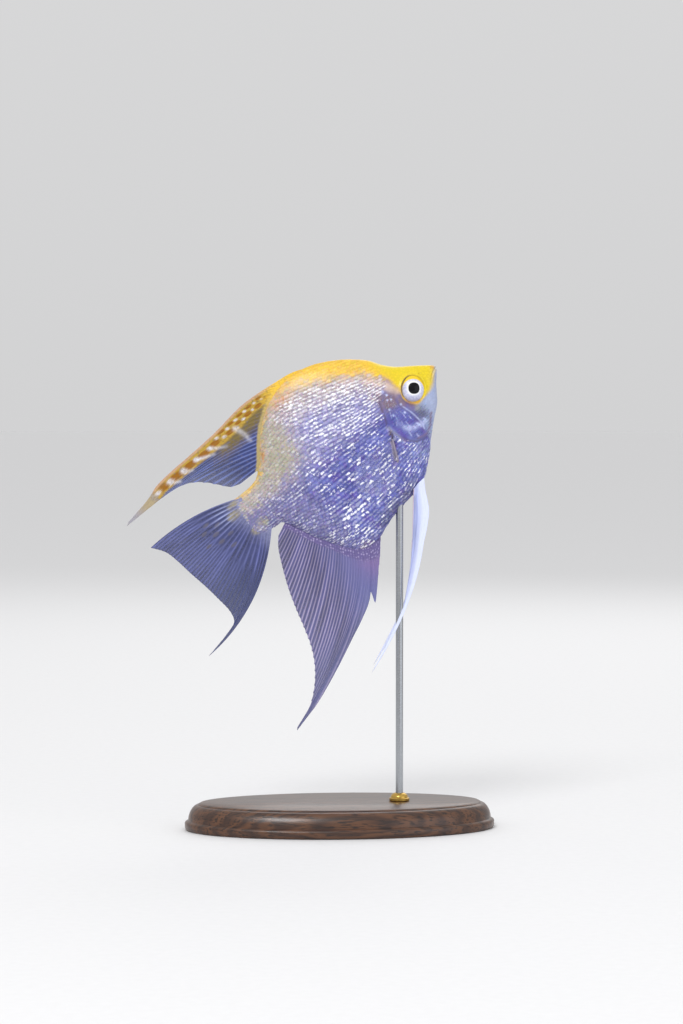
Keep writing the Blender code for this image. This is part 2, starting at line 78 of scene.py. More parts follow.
# Skin
SKIN_AROUND = 260
SKIN_ALONG = 330
SKIN_STATIONS = ((0.0, -0.7), (0.2, 6.0), (0.52, 26.0), (0.86, 70.0), (1.0, 84.0))
SNOUT_ROUND = 0.3
ROUND_RINGS = 8

# Lines of the head, as (distance, height)
GAPE = ((-1.3, 0.5), (0.4, 0.1), (2.0, -0.8), (3.8, -2.1))
LIP_FOLD = ((1.2, 2.5), (1.8, 1.1), (1.9, 0.2))
CHIN_FOLD = ((0.8, -1.8), (2.0, -1.8), (3.0, -2.5))
MAXILLA = ((4.2, 1.1), (4.8, -0.6), (4.6, -2.2), (3.6, -3.4))
GILL_EDGE = ((19.4, 6.4), (21.0, 4.4), (22.1, 1.4), (23.3, -1.8), (24.2, -4.8), (23.8, -7.8),
             (22.7, -10.7), (21.1, -13.1), (18.9, -14.6), (15.9, -14.9), (13.0, -13.4), (10.5, -11.0))
CHEEK_EDGE = ((16.4, 3.6), (16.7, -1.4), (16.3, -3.2), (15.6, -5.6), (15.2, -8.2), (15.1, -10.6),
              (15.6, -12.6))
# The gill gleam lies on a low ridge and carries a painted highlight, as the shoulder gleam does
GILL_GLEAM = ((21.7, -5.6), (21.3, -7.8), (19.9, -9.6), (17.9, -10.6), (16.0, -11.1), (14.2, -11.4))
NAPE_PALE = ((15.0, 2.8), (15.9, 4.2), (16.7, 6.4), (18.0, 8.6), (20.4, 11.0))
SHOULDER_GLEAM = ((24.9, -4.6), (24.3, -8.4), (23.7, -11.6))
PECTORAL_ROOT = ((26.8, -8.3), (27.9, -10.5), (29.0, -12.3), (30.2, -14.4))
PECTORAL_SLIT = ((25.2, -7.1), (26.2, -8.8), (27.4, -10.9), (28.7, -13.1))
NOSTRIL = (5.2, 2.4)
NOSTRIL_RADIUS = 0.3
GILL_HINGE = (18.1, 4.5)

# Raised edges of the gill cover and the cheek: line, the shares of it where the edge is whole, its
# height and softness, how slowly it falls off inwards, and its lip, its groove and that one's width
PLATE_EDGES = ((GILL_EDGE, 0.08, 0.82, 0.34, 0.4, 3.2, 0.0, 0.2, 0.55),
               (CHEEK_EDGE, 0.15, 0.8, 0.16, 0.3, 2.0, 0.12, 0.12, 0.45))
# Low ridges and dents along a line: the line, its height and its width
LINE_FORMS = ((GILL_GLEAM, 0.3, 1.3), (PECTORAL_ROOT, 0.42, 0.55), (PECTORAL_SLIT, -0.5, 0.35),
              (MAXILLA, -0.1, 0.5), (LIP_FOLD, -0.1, 0.35), (CHIN_FOLD, -0.08, 0.35))

# Eyes: the opening is taller than wide once the fish is tilted nose up
EYE_BACK = 10.27
EYE_HEIGHT = -0.24
EYE_WIDE = 4.1            # half sizes of the ball, level and upright on the tilted fish
EYE_TALL = 4.75
EYE_DEPTH = 2.4
EYE_OUT = 3.3             # from the middle plane to the eye's centre
EYE_TURN = math.radians(9.0)
PUPIL_FORWARD = -0.04
PUPIL_UP = 0.17
PUPIL_RADIUS = 1.9
PUPIL_SQUARENESS = 2.3    # 2 would be round
EYE_MAP = 10.0            # mm across the eye's UV map
ORBIT_WIDE = 3.9          # half sizes of the opening in the skin
ORBIT_TALL = 4.55
ORBIT_RIM = 0.35          # skin from the opening to the crest of the rim
ORBIT_DEPTH = 3.4         # how far the skin sinks behind the ball

# Colour lines: the edge of the gold, how soft and strong it is, and the cream below it
GOLD_LINE = ((-1.4, 2.4), (0.8, 0.5), (3.1, -2.0), (5.6, -3.7), (7.8, -4.2), (11.2, -4.8),
             (13.0, -4.0), (13.9, -0.8), (14.1, 3.2), (14.8, 7.9), (17, 11.0), (20, 14.2), (25, 17.8),
             (30, 20.6), (35, 22.8), (40, 24.6), (45, 25.6), (50, 25.2), (54, 23.6), (58, 20.6),
             (61, 17.6), (64, 14.0), (67, 10.9), (70, 8.9), (75, 8.3), (84, 9.0))
GOLD_SOFTNESS = ((-1, 2.2), (3, 2.4), (6, 1.7), (11, 1.0), (14, 2.0), (18, 3.2), (30, 4.2), (44, 3.6),
                 (56, 1.6), (70, 1.6), (84, 2.4))
GOLD_STRENGTH = ((-1, 1.05), (26, 1.05), (33, 1.0), (40, 0.75), (46, 0.6), (54, 0.5), (66, 0.6),
                 (74, 0.7), (84, 0.4))
CREAM_DEPTH = ((-1, 0.5), (12, 1.0), (15, 2.5), (20, 5.0), (30, 6.5), (40, 8.0), (50, 11.0),
               (57, 12.0), (64, 8.0), (72, 3.5), (84, 2.0))

# Soft patches of each marking: strength, distance, height, how far it is squeezed along both, width
SOFT_PATCHES = {
    "nape": ((0.55, 16.0, 2.2, 1.0, 1.0, 1.3), (0.6, 20.6, 6.6, 0.7, 1.0, 2.2)),
    "olive": ((0.5, 13.3, -5.6, 1.0, 1.0, 1.6),),
    "silver": ((0.42, 21.0, -17.0, 1.0, 1.0, 5.0),),
    "smoke": ((0.85, 13.2, -8.2, 1.0, 0.7, 2.6),),
    "orange": ((0.6, 0.1, 1.4, 1.0, 1.0, 1.1), (0.46, 46.5, 24.6, 0.5, 1.0, 2.6)),
    "blush": ((1.05, 19.0, 1.8, 0.8, 1.0, 3.2), (0.8, 20.9, 4.2, 1.0, 1.0, 1.9),
              (0.95, 16.1, -0.9, 1.0, 0.6, 1.5), (0.6, 14.8, -4.0, 1.0, 1.0, 1.5),
              (0.6, 56.0, -31.0, 1.0, 1.3, 5.0)),
    # gleam: painted glints of single scales on the head
    "gleam": tuple((0.9, d, z, 1.0, 1.0, 0.42) for d, z in (
        (16.7, -1.4), (17.4, -4.3), (19.3, 2.6), (18.4, 4.0), (18.2, 2.0), (21.0, -2.6), (20.8, -0.3),
        (24.4, -8.8), (18.6, 5.6), (17.0, 6.4))),
}
# Ovals, here and in the fins: distance, height, half length and half height
OLIVE_PATCHES = ((76.0, 7.4, 3.0, 1.8), (75.2, 4.4, 2.6, 2.0), (80.6, 4.6, 2.4, 2.6),
                 (77.2, -2.4, 2.6, 2.0), (66.4, 5.0, 2.4, 2.8))

# Scales
SCALE_COLUMN = ((12, 1.0), (20, 1.35), (27, 1.65), (46, 1.65), (54, 1.35), (62, 1.15), (84, 0.95))
SCALE_ROW = ((-46, 1.0), (-28, 1.15), (-20, 1.42), (10, 1.42), (24, 1.2), (46, 1.0))
COAT_PARTING = 36.0       # each flank's scales are two pieces, parted here
SCALE_LENGTH = 1.8        # lengths of a scale, in column spacings
SCALE_WIDTH = 1.42        # and widths, in row spacings
SCALE_TILT = 0.3          # how far its free edge rises
SCALE_THICK = 0.1
SCALE_SEED = 41
SCALES_ALONG = (12.0, 82.0)   # stretch of the flank that scale columns cover, and of its rows
SCALES_ROUND = (-62.0, 62.0)
SCALE_CREASE = math.radians(50.0)
ROLL_ALONG = (8.0, 84.0, 305)     # the flank rolled out: from, to and steps, along and round it
ROLL_ROUND = (-48.0, 48.0, 769)
FACE_ALONG = (10.5, 26.0)
FACE_ROUND = (-22.0, 8.0)
FACE_COLUMN = 1.15
FACE_ROW = 0.95
FACE_RISE = 0.22          # how far face scales stand up, as a share of the others
DASH_MIDDLE = 0.68        # painted highlight dash of a scale, in shares of its length and width
DASH_HALF_LENGTH = 0.38
DASH_HALF_WIDTH = 0.17
BAKE_SPAN = 92.0          # mm of flank that the bake map's unit square holds
BAKE_PATCH = 0.0015       # half size of one scale's own patch in that square
COAT_FRONT = ((25.5, 27.0), (20.0, 22.0), (16.6, 13.6), (16.0, 8.4), (18.2, 6.0), (21.6, 4.4),
              (23.0, 1.6), (24.2, -1.8), (25.2, -4.8), (24.8, -8.2), (23.6, -11.3), (21.8, -13.9),
              (19.1, -15.7), (15.8, -15.9), (13.0, -14.5), (11.0, -13.4))
COAT_REAR = ((80.0, 20.0), (80.4, 9.0), (81.6, 5.0), (81.6, 1.0), (80.3, -3.0), (77.6, -7.0),
             (77.0, -20.0))

# Fins: base stretch along the body, then edges as (distance, height). A thickness is half of it at
# the root, over a ray and over the web; a sway is where the sideways curl starts and how long it is
DORSAL_BASE = (34.2, 67.3)
DORSAL_FRONT_SHARE = 0.65
DORSAL_FRONT_EDGE = ((36.0, 29.3), (40, 30.2), (48, 31.5), (56, 32.2), (62, 31.9), (70, 31.0),
                     (80, 30.6), (90, 30.4), (96, 29.9), (103, 28.0), (113, 26.4))
DORSAL_REAR_EDGE = ((113, 25.9), (104, 25.8), (97, 25.6), (91, 24.9), (86.5, 23.1), (83, 20.2),
                    (80, 16.6), (77.6, 13.8), (74.5, 12.5))
WHITE_SPOTS = (
    (97.5, 27.6, 0.9, 0.8), (91.7, 27.9, 0.8, 1.1), (86.0, 27.9, 0.75, 1.1), (80.4, 28.1, 0.7, 0.9),
    (74.5, 28.0, 0.8, 0.8), (70.3, 29.2, 0.6, 0.55), (68.4, 27.9, 0.6, 0.55), (65.5, 29.3, 0.6, 0.5),
    (63.2, 27.6, 0.5, 0.5), (61.4, 29.8, 0.7, 0.45), (59.6, 28.4, 0.7, 0.45), (57.2, 30.1, 0.6, 0.45),
    (55.2, 28.8, 0.5, 0.4), (53.0, 30.2, 0.5, 0.4), (50.4, 29.6, 0.5, 0.35))
BROWN_BLOCKS = (
    (94.4, 28.1, 1.6, 1.3), (88.9, 28.1, 2.1, 1.15), (83.1, 28.0, 2.2, 1.05), (77.3, 27.8, 2.1, 1.0),
    (72.0, 28.3, 1.7, 0.9), (67.6, 29.9, 1.4, 0.5), (66.0, 27.9, 1.5, 0.7), (63.4, 30.0, 1.2, 0.5),
    (61.6, 28.6, 1.2, 0.5), (59.2, 30.3, 1.2, 0.45), (57.3, 28.7, 1.4, 0.6), (55.2, 30.4, 1.2, 0.45),
    (53.0, 28.6, 1.3, 0.6), (50.6, 30.5, 1.2, 0.4), (48.6, 29.2, 1.2, 0.5))
DORSAL_STREAKS = (((64.0, 27.8), (62.9, 24.9), (62.5, 21.6)), ((74.5, 28.0), (72.4, 26.4), (69.9, 25.0)),
                  ((80.4, 28.1), (77.6, 26.8), (74.6, 25.6)), ((86.0, 27.6), (85.2, 26.9), (83.6, 26.2)),
                  ((91.6, 27.6), (90.4, 26.6), (89.0, 26.0)))
DORSAL_BAND = ((40, 3.0), (52, 4.4), (62, 5.2), (80, 4.4), (92, 4.0), (100, 3.4))   # band's depth
DORSAL_BENDS = ((0.0, 0.5, 0.0), (0.5, 0.5, 0.05), (0.65, 0.45, 0.085), (0.8, 0.45, 0.05),
                (1.0, 0.5, 0.0))   # across the fin: where along a ray its bend lies, and how far aside
DORSAL_RAYS = 30
DORSAL_THICKNESS = (0.5, 0.2, 0.11)
DORSAL_SWAY = (66, 46)
ANAL_BASE = (49.8, 71.3)
ANAL_FRONT_SHARE = 0.25
ANAL_FRONT_EDGE = ((50.8, -32.3), (53.6, -35.6), (57.0, -39.0), (61.0, -43.0), (65.4, -47.1),
                   (64.6, -44.4), (64.3, -42.6), (66.2, -45.0), (70, -47.4), (80, -51.8),
                   (90, -56.0), (100, -59.7), (107, -61.5), (114, -63.0))
ANAL_REAR_EDGE = ((114, -62.5), (106, -60.0), (100, -55.9), (95.2, -50.7), (91.8, -45.0),
                  (89.4, -38.6), (87.2, -31.5), (84.8, -24.8), (81.6, -17.8), (78.6, -12.2),
                  (75.8, -8.9))
ANAL_BENDS = ((0.0, 0.5, 0.0), (0.15, 0.45, -0.05), (0.18, 0.35, -0.13), (0.25, 0.31, -0.163),
              (0.42, 0.38, -0.10), (0.65, 0.45, -0.04), (1.0, 0.5, 0.0))
ANAL_RAYS = 42
ANAL_THICKNESS = (0.5, 0.22, 0.1)
ANAL_SWAY = (68, 46)
TAIL_ROOT = ((79.9, 10.0), (81.0, 6.0), (81.2, 1.5), (80.0, -3.0), (76.9, -6.4))
TAIL_EDGE = ((110.9, 15.4), (108.0, 11.0), (106.9, 6.0), (106.2, 0.0), (105.3, -6.0),
             (104.7, -12.0), (104.4, -18.0), (106.0, -21.8), (111.5, -23.4), (119.6, -24.8))
TAIL_BOW = ((0.0, 0.115), (0.35, 0.0), (0.7, -0.04), (1.0, -0.2))
TAIL_CROWD = ((0.0, 0.0), (0.85, 0.74), (1.0, 1.0))   # share of the edge that each ray ends at
TAIL_RAYS = 18
TAIL_THICKNESS = (1.3, 0.26, 0.12)
TAIL_SWAY = (80, 40)
TAIL_SUNK = 3.0
TAIL_SPOTS = ((92.1, 9.3, 1.2, 0.5), (91.4, 4.9, 1.3, 0.6), (91.5, 1.8, 1.2, 0.6), (94.4, 7.4, 1.1, 0.5),
              (89.0, 7.0, 1.1, 0.5), (87.4, 2.1, 1.2, 0.5), (95.8, 3.2, 1.1, 0.5), (89.0, -1.6, 1.2, 0.5))
TAIL_PATCHES = ((82.6, 5.9, 2.2, 1.3), (79.6, -2.6, 2.0, 1.3), (80.8, 8.8, 2.0, 0.8))
PELVIC_BASE = ((27.4, -26.7), (32.6, -27.5))
PELVIC_EDGE = ((81.1, -64.1), (77, -62.3), (73.7, -60.9), (65.8, -57.7), (60.7, -55.2),
               (57.2, -52.5), (50.4, -46.7), (44.5, -40.9))
PELVIC_SPREAD = (1.85, 4.6)          # aside at the root and at the tip
PELVIC_LEAN = ((0.0, 0.41), (1.0, 0.5))
PELVIC_BOW = ((0.0, -0.195), (0.5, -0.105), (1.0, 0.0))
PELVIC_LENGTH = 60
PELVIC_RAYS = 5
PELVIC_THICKNESS = (0.6, 0.32, 0.24)
PELVIC_LEFT_REACH = 0.97
PELVIC_LEFT_SHIFT = (-0.18, -0.137)   # for each mm aside, so that it hides behind the right
PECTORAL_BASE = ((26.6, -8.3), (29.8, -15.4))
PECTORAL_EDGE = ((44.2, -7.6), (46.2, -11.6), (45.4, -16.0), (41.8, -19.6), (36.6, -20.8))
PECTORAL_OUT = 7.6
PECTORAL_RAYS = 12
PECTORAL_THICKNESS = (0.35, 0.14, 0.07)
PECTORAL_SUNK = 0.4
FIN_SWAY = 1.5
FIN_CLEARANCE = 0.45
FIN_SUNK = 2.0            # how far a fin's root reaches into the body
COLUMNS_PER_RAY = 8
UNFORKED = 2.0            # a fork beyond the fin's edge, so that its rays stay whole

# Stand; the profiles are how far each ring stands in from the full size, and its height
BASE_HALF_LENGTH = 52.0
BASE_HALF_WIDTH = 27.0
BASE_PROFILE = ((0.85, 0.0), (0.5, 0.15), (0.15, 0.5), (0.0, 1.0), (0.0, 2.4), (0.2, 2.75), (0.75, 3.1),
                (1.1, 3.3), (1.15, 3.7), (1.25, 4.5), (1.5, 5.4), (1.9, 6.3), (2.45, 7.2),
                (3.2, 7.95), (3.9, 8.3), (4.3, 8.35), (4.7, 8.7), (5.3, 9.0))
BASE_STEPS = 160
ROD_STEPS = 48
COLLAR_STEPS = 64
STAND_CREASE = math.radians(32.0)
BASE_TOP = 9.0
ROD_X = 20.0
ROD_RADIUS = 1.25
ROD_TOP = 111.6
ROD_SOCKET = 5.0          # how deep the rod stands in the base
ROD_PROFILE = ((0.0, BASE_TOP - ROD_SOCKET), (0.0, ROD_TOP - 0.5), (0.15, ROD_TOP - 0.15),
               (0.5, ROD_TOP))
COLLAR_RADIUS = 3.4
COLLAR_LOW = BASE_TOP - 0.02
COLLAR_PROFILE = ((0.25, 0.0), (0.0, 0.25), (0.0, 0.9), (0.15, 1.05), (0.45, 1.15), (0.5, 1.3), (0.5, 1.6),
                  (0.7, 1.95), (1.1, 2.35), (1.55, 2.6), (1.9, 2.72))

# Camera and light
LOOK_TURN = math.radians(-5.0)
LOOK_DOWN = math.radians(2.0)
LOOK_AT = (0.5, 0.0, 106.0)
LOOK_FROM = 950.0
LENS = 100.0
LAMPS = (("key", (-0.5, -1.0, 1.1), 0.45, 9.0, "#FFFFFF"),   # place and size in m, power in W
         ("fill", (0.9, -0.9, 0.35), 0.9, 2.0, "#F4F7FF"),
         ("rim", (0.3, 0.9, 0.8), 0.8, 2.5, "#FFFFFF"))
LAMPS_AIM = (0.0, 0.0, 0.1)


# ---------------------------------------------------------------- curves

def curve(points):
    """A function, good for arrays, through (place, value) points that never overshoots them."""
    places = np.array([p[0] for p in points], float)
    values = np.array([p[1] for p in points], float)
    rises = np.diff(values) / np.diff(places)
    slopes = np.zeros(len(points))
    slopes[0], slopes[-1] = rises[0], rises[-1]
    for i in range(1, len(points) - 1):
        before, after = rises[i - 1], rises[i]
        if before * after > 0:
            slopes[i] = 2 * before * after / (before + after)

    def value_at(place):
        place = np.clip(place, places[0], places[-1])
        i = np.clip(np.searchsorted(places, place, side="right") - 1, 0, len(places) - 2)
        span = places[i + 1] - places[i]
        t = (place - places[i]) / span
        ease = t * t * (3 - 2 * t)
        start = span * slopes[i] * t * (1 - t) ** 2
        end = span * slopes[i + 1] * t * t * (t - 1)
        return values[i] * (1 - ease) + values[i + 1] * ease + start + end

    return value_at


def smooth_line(points, steps=8):
    """Close points of a smooth line through the given ones."""
    given = np.array(points, float)
    held = np.vstack([given[:1], given, given[-1:]])
    a, b, c, d = (q[:, None, :] for q in (held[:-3], held[1:-2], held[2:-1], held[3:]))
    t = np.linspace(0, 1, steps, endpoint=False)[None, :, None]
    fine = 0.5 * (2 * b + (c - a) * t + (2 * a - 5 * b + 4 * c - d) * t * t
                  + (3 * b - a - 3 * c + d) * t ** 3)
    return np.vstack([fine.reshape(-1, 2), given[-1:]])


def walk(line):
    """A function that gives the point at a share, 0 to 1, of a line's length."""
    run = np.concatenate([[0], np.cumsum(np.linalg.norm(np.diff(line, axis=0), axis=1))])
    run /= run[-1]

    def point_at(share):
        share = np.clip(share, 0, 1)
        return np.stack([np.interp(share, run, line[:, k]) for k in (0, 1)], axis=-1)

    return point_at


def beside(d, z, points):
    """Distance of each place from a line, less than 0 on its right hand, and the share along it."""
    line = smooth_line(points, 5)
    nearest = np.full(d.shape, 1e9)
    hand = np.ones(d.shape)
    share = np.zeros(d.shape)
    for i in range(len(line) - 1):
        step_d, step_z = line[i + 1] - line[i]
        off_d, off_z = d - line[i][0], z - line[i][1]
        t = np.clip((off_d * step_d + off_z * step_z) / (step_d ** 2 + step_z ** 2), 0, 1)
        far = np.hypot(off_d - t * step_d, off_z - t * step_z)
        near = far < nearest
        nearest = np.where(near, far, nearest)
        hand = np.where(near, np.where(step_d * off_z - step_z * off_d < 0, -1.0, 1.0), hand)
        share = np.where(near, (i + t) / (len(line) - 1), share)
    return nearest * hand, share


def step(low, high, value):
    """Smooth rise from 0 at low to 1 at high."""
    t = np.clip((value - low) / (high - low), 0, 1)
    return t * t * (3 - 2 * t)


def bump(value, width):
    """Soft hump, 1 at 0 and near nothing two widths away."""
    return np.exp(-(value / width) ** 2)


def strongest(*layers):
    """The highest of several strengths at each place."""
    return np.maximum.reduce(layers)


back = curve(BACK_HEIGHT)
belly = curve(BELLY_HEIGHT)
breadth = curve(HALF_BREADTH)
keel = curve(KEEL_SHARPNESS)
coat_room = curve(COAT_ROOM)
gold_softness = curve(GOLD_SOFTNESS)
gold_strength = curve(GOLD_STRENGTH)
cream_depth = curve(CREAM_DEPTH)


# ---------------------------------------------------------------- meshes

def world(d, y, z):
    """Places on the level fish, in mm, as metres in the shared frame."""
    x = SNOUT_X - d * UP_COS - z * UP_SIN
    return np.stack([x, y, SNOUT_Z - d * UP_SIN + z * UP_COS], axis=-1) * MM


def level(points):
    """The opposite: distance behind the snout, aside and height of points in metres."""
    x, y, z = points[:, 0] / MM - SNOUT_X, points[:, 1] / MM, points[:, 2] / MM - SNOUT_Z
    return -x * UP_COS - z * UP_SIN, y, -x * UP_SIN + z * UP_COS


def alone(piece=None):
    """Deselects all but one piece or the next new one, so that operators act on that one only."""
    bpy.ops.object.select_all(action="DESELECT")
    if piece:
        piece.select_set(True)
        bpy.context.view_layer.objects.active = piece


def new_item(name, data):
    """Adds an object that shows a mesh, a lamp or a camera."""
    item = bpy.data.objects.new(name, data)
    bpy.context.scene.collection.objects.link(item)
    return item


def named(name):
    """Names the primitive that was just added."""
    piece = bpy.context.object
    piece.name = name
    piece.data.name = name
    return piece


def points_of(piece):
    """Places of a piece's points, in metres."""
    values = np.empty(len(piece.data.vertices) * 3)
    piece.data.vertices.foreach_get("co", values)
    return values.reshape(-1, 3)


def normals_of(piece):
    """Outward directions at a piece's points."""
    values = np.empty(len(piece.data.vertices) * 3)
    piece.data.vertex_normals.foreach_get("vector", values)
    return values.reshape(-1, 3)


def put_points(piece, points):
    """Moves a piece's points to given places, in metres."""
    piece.data.vertices.foreach_set("co", np.asarray(points, np.float32).ravel())
    piece.data.update()


def put_attributes(piece, **strengths):
    """Stores one number for each point of a piece, under each name."""
    for name, values in strengths.items():
        made = piece.data.attributes.new(name, "FLOAT", "POINT")
        made.data.foreach_set("value", np.asarray(values, np.float32))


def stored(piece, name):
    """Values of an attribute that a piece already carries."""
    values = np.empty(len(piece.data.vertices))
    piece.data.attributes[name].data.foreach_get("value", values)
    return values


def put_map(piece, name, places):
    """Adds a UV map from one (u, v) for each point."""
    made = piece.data.uv_layers.new(name=name)
    corners = np.empty(len(piece.data.loops), int)
    piece.data.loops.foreach_get("vertex_index", corners)
    made.data.foreach_set("uv", np.asarray(places, np.float32)[corners].ravel())


def settle(piece, material, slot, *nodes):
    """Gives a finished piece its material, its body, and the solids that it stands for."""
    piece.data.materials.clear()
    piece.data.materials.append(material)
    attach(piece, "root")
    if nodes:
        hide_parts(*nodes)


# ---------------------------------------------------------------- materials

def linear(code):
    """An sRGB hex colour as linear light."""
    shares = [int(code[i:i + 2], 16) / 255 for i in (1, 3, 5)]
    return tuple(v / 12.92 if v <= 0.04045 else ((v + 0.055) / 1.055) ** 2.4 for v in shares) + (1.0,)


def feed(tree, node, inputs):
    """Sets or links a node's inputs, by name or number; a node stands for its first live output."""
    for key, value in inputs.items():
        if isinstance(value, bpy.types.Node):
            value = next(socket for socket in value.outputs if socket.enabled)
        if isinstance(value, bpy.types.NodeSocket):
            tree.links.new(value, node.inputs[key])
        else:
            node.inputs[key].default_value = value


def add(tree, kind, inputs=None, **settings):
    """Adds a node with its settings and its inputs."""
    made = tree.nodes.new("ShaderNode" + kind)
    for key, value in settings.items():
        setattr(made, key, value)
    feed(tree, made, inputs or {})
    return made


def new_material(name):
    """A material with its node tree and its one shader."""
    material = bpy.data.materials.new(name)
    material.use_nodes = True
    return material, material.node_tree, material.node_tree.nodes["Principled BSDF"]


# Markings from the lowest to the topmost: attribute, two shades, and how ragged its edge is
MARKINGS = (
    ("pale", "#8B89BE", "#9D98C2", 1.6),
    ("rear", "#7072AA", "#827BA2", 1.8),
    ("silver", "#8E9DCC", "#B7C1DC", 1.6),
    ("smoke", "#5E6186", "#6C6E86", 0.7),
    ("cream", "#AFA2B2", "#C4B4AE", 1.6),
    ("nape", "#C8ACAC", "#E2CDBC", 0.9),
    ("fold", "#A294A4", "#8E8798", 0.8),
    ("olive", "#A5A190", "#B3AB96", 2.2),
    ("blush", "#7C687C", "#8E7886", 1.1),
    ("lip", "#C3C0A4", "#CFC6B6", 1.4),
    ("gold", "#EFC742", "#EBB938", 1.0),
    ("lemon", "#EBD31A", "#E4C814", 0.8),
    ("orange", "#D8943E", "#C07E38", 2.4),
    # gleam is painted highlight
    ("gleam", "#BECAFC", "#E2E8FF", 1.2),
    # groove is painted shade in the creases
    ("groove", "#4A3C58", "#5E4434", 0.8),
)


def marked_colour(tree):
    """Colour of the body: lavender, overlaid in turn by each marking that the mesh carries, painted
    highlights and painted shade among them.
    """
    place = add(tree, "TexCoord").outputs["Object"]
    drift, fleck, patch = (
        add(tree, "TexNoise", {"Vector": place, "Scale": 1 / (size * MM), "Detail": detail})
        for size, detail in ((6, 2.0), (1.5, 3.0), (3.2, 2.0)))
    spread = add(tree, "MapRange", {"Value": drift, "From Min": 0.35, "From Max": 0.65})
    violet = add(tree, "MapRange", {"Value": patch, "From Min": 0.52, "From Max": 0.66, "To Max": 0.75})
    colour = add(tree, "Mix", {0: spread, 6: linear("#5458A5"), 7: linear("#6C72BA")}, data_type="RGBA")
    colour = add(tree, "Mix", {0: violet, 6: colour, 7: linear("#6450AC")}, data_type="RGBA")
    loose = add(tree, "Math", {0: fleck, 1: -0.5}, operation="ADD")
    for name, one, other, ragged in MARKINGS:
        mask = add(tree, "Attribute", attribute_name=name).outputs["Fac"]
        worn = add(tree, "Math", {0: loose, 1: ragged, 2: 1.0}, operation="MULTIPLY_ADD")
        whole = add(tree, "Math", {0: worn, 1: mask}, operation="MULTIPLY")
        cover = add(tree, "MapRange", {"Value": whole}, interpolation_type="SMOOTHSTEP")
        shade = add(tree, "Mix", {0: drift, 6: linear(one), 7: linear(other)}, data_type="RGBA")
        colour = add(tree, "Mix", {0: cover, 6: colour, 7: shade}, data_type="RGBA")
    return colour, place, fleck


def skin_material():
    """Wet, smooth fish skin: soft pigment under a clear slime, with pits finer than a scale."""
    material, tree, shader = new_material("fish_skin_wet")
    colour, place, fleck = marked_colour(tree)
    fine = add(tree, "TexVoronoi", {"Vector": place, "Scale": 1 / (0.75 * MM)})
    dots = add(tree, "MapRange", {"Value": fine, "From Min": 0.15, "From Max": 0.65, "To Min": 1.03,
                                  "To Max": 0.91})
    dotted = add(tree, "VectorMath", {0: colour, "Scale": dots}, operation="SCALE")
    pits = add(tree, "Bump", {"Height": fine, "Strength": 0.35, "Distance": 0.05 * MM})
    slow = add(tree, "Bump", {"Height": fleck, "Strength": 0.3, "Distance": 0.25 * MM, "Normal": pits})
    feed(tree, shader, {"Base Color": dotted, "Normal": slow, "Roughness": 0.42, "IOR": 1.4,
                        "Coat Weight": 0.2, "Coat Roughness": 0.15, "Subsurface Weight": 0.06,
                        "Subsurface Radius": (0.6, 0.35, 0.3), "Subsurface Scale": 0.6 * MM})
    return material


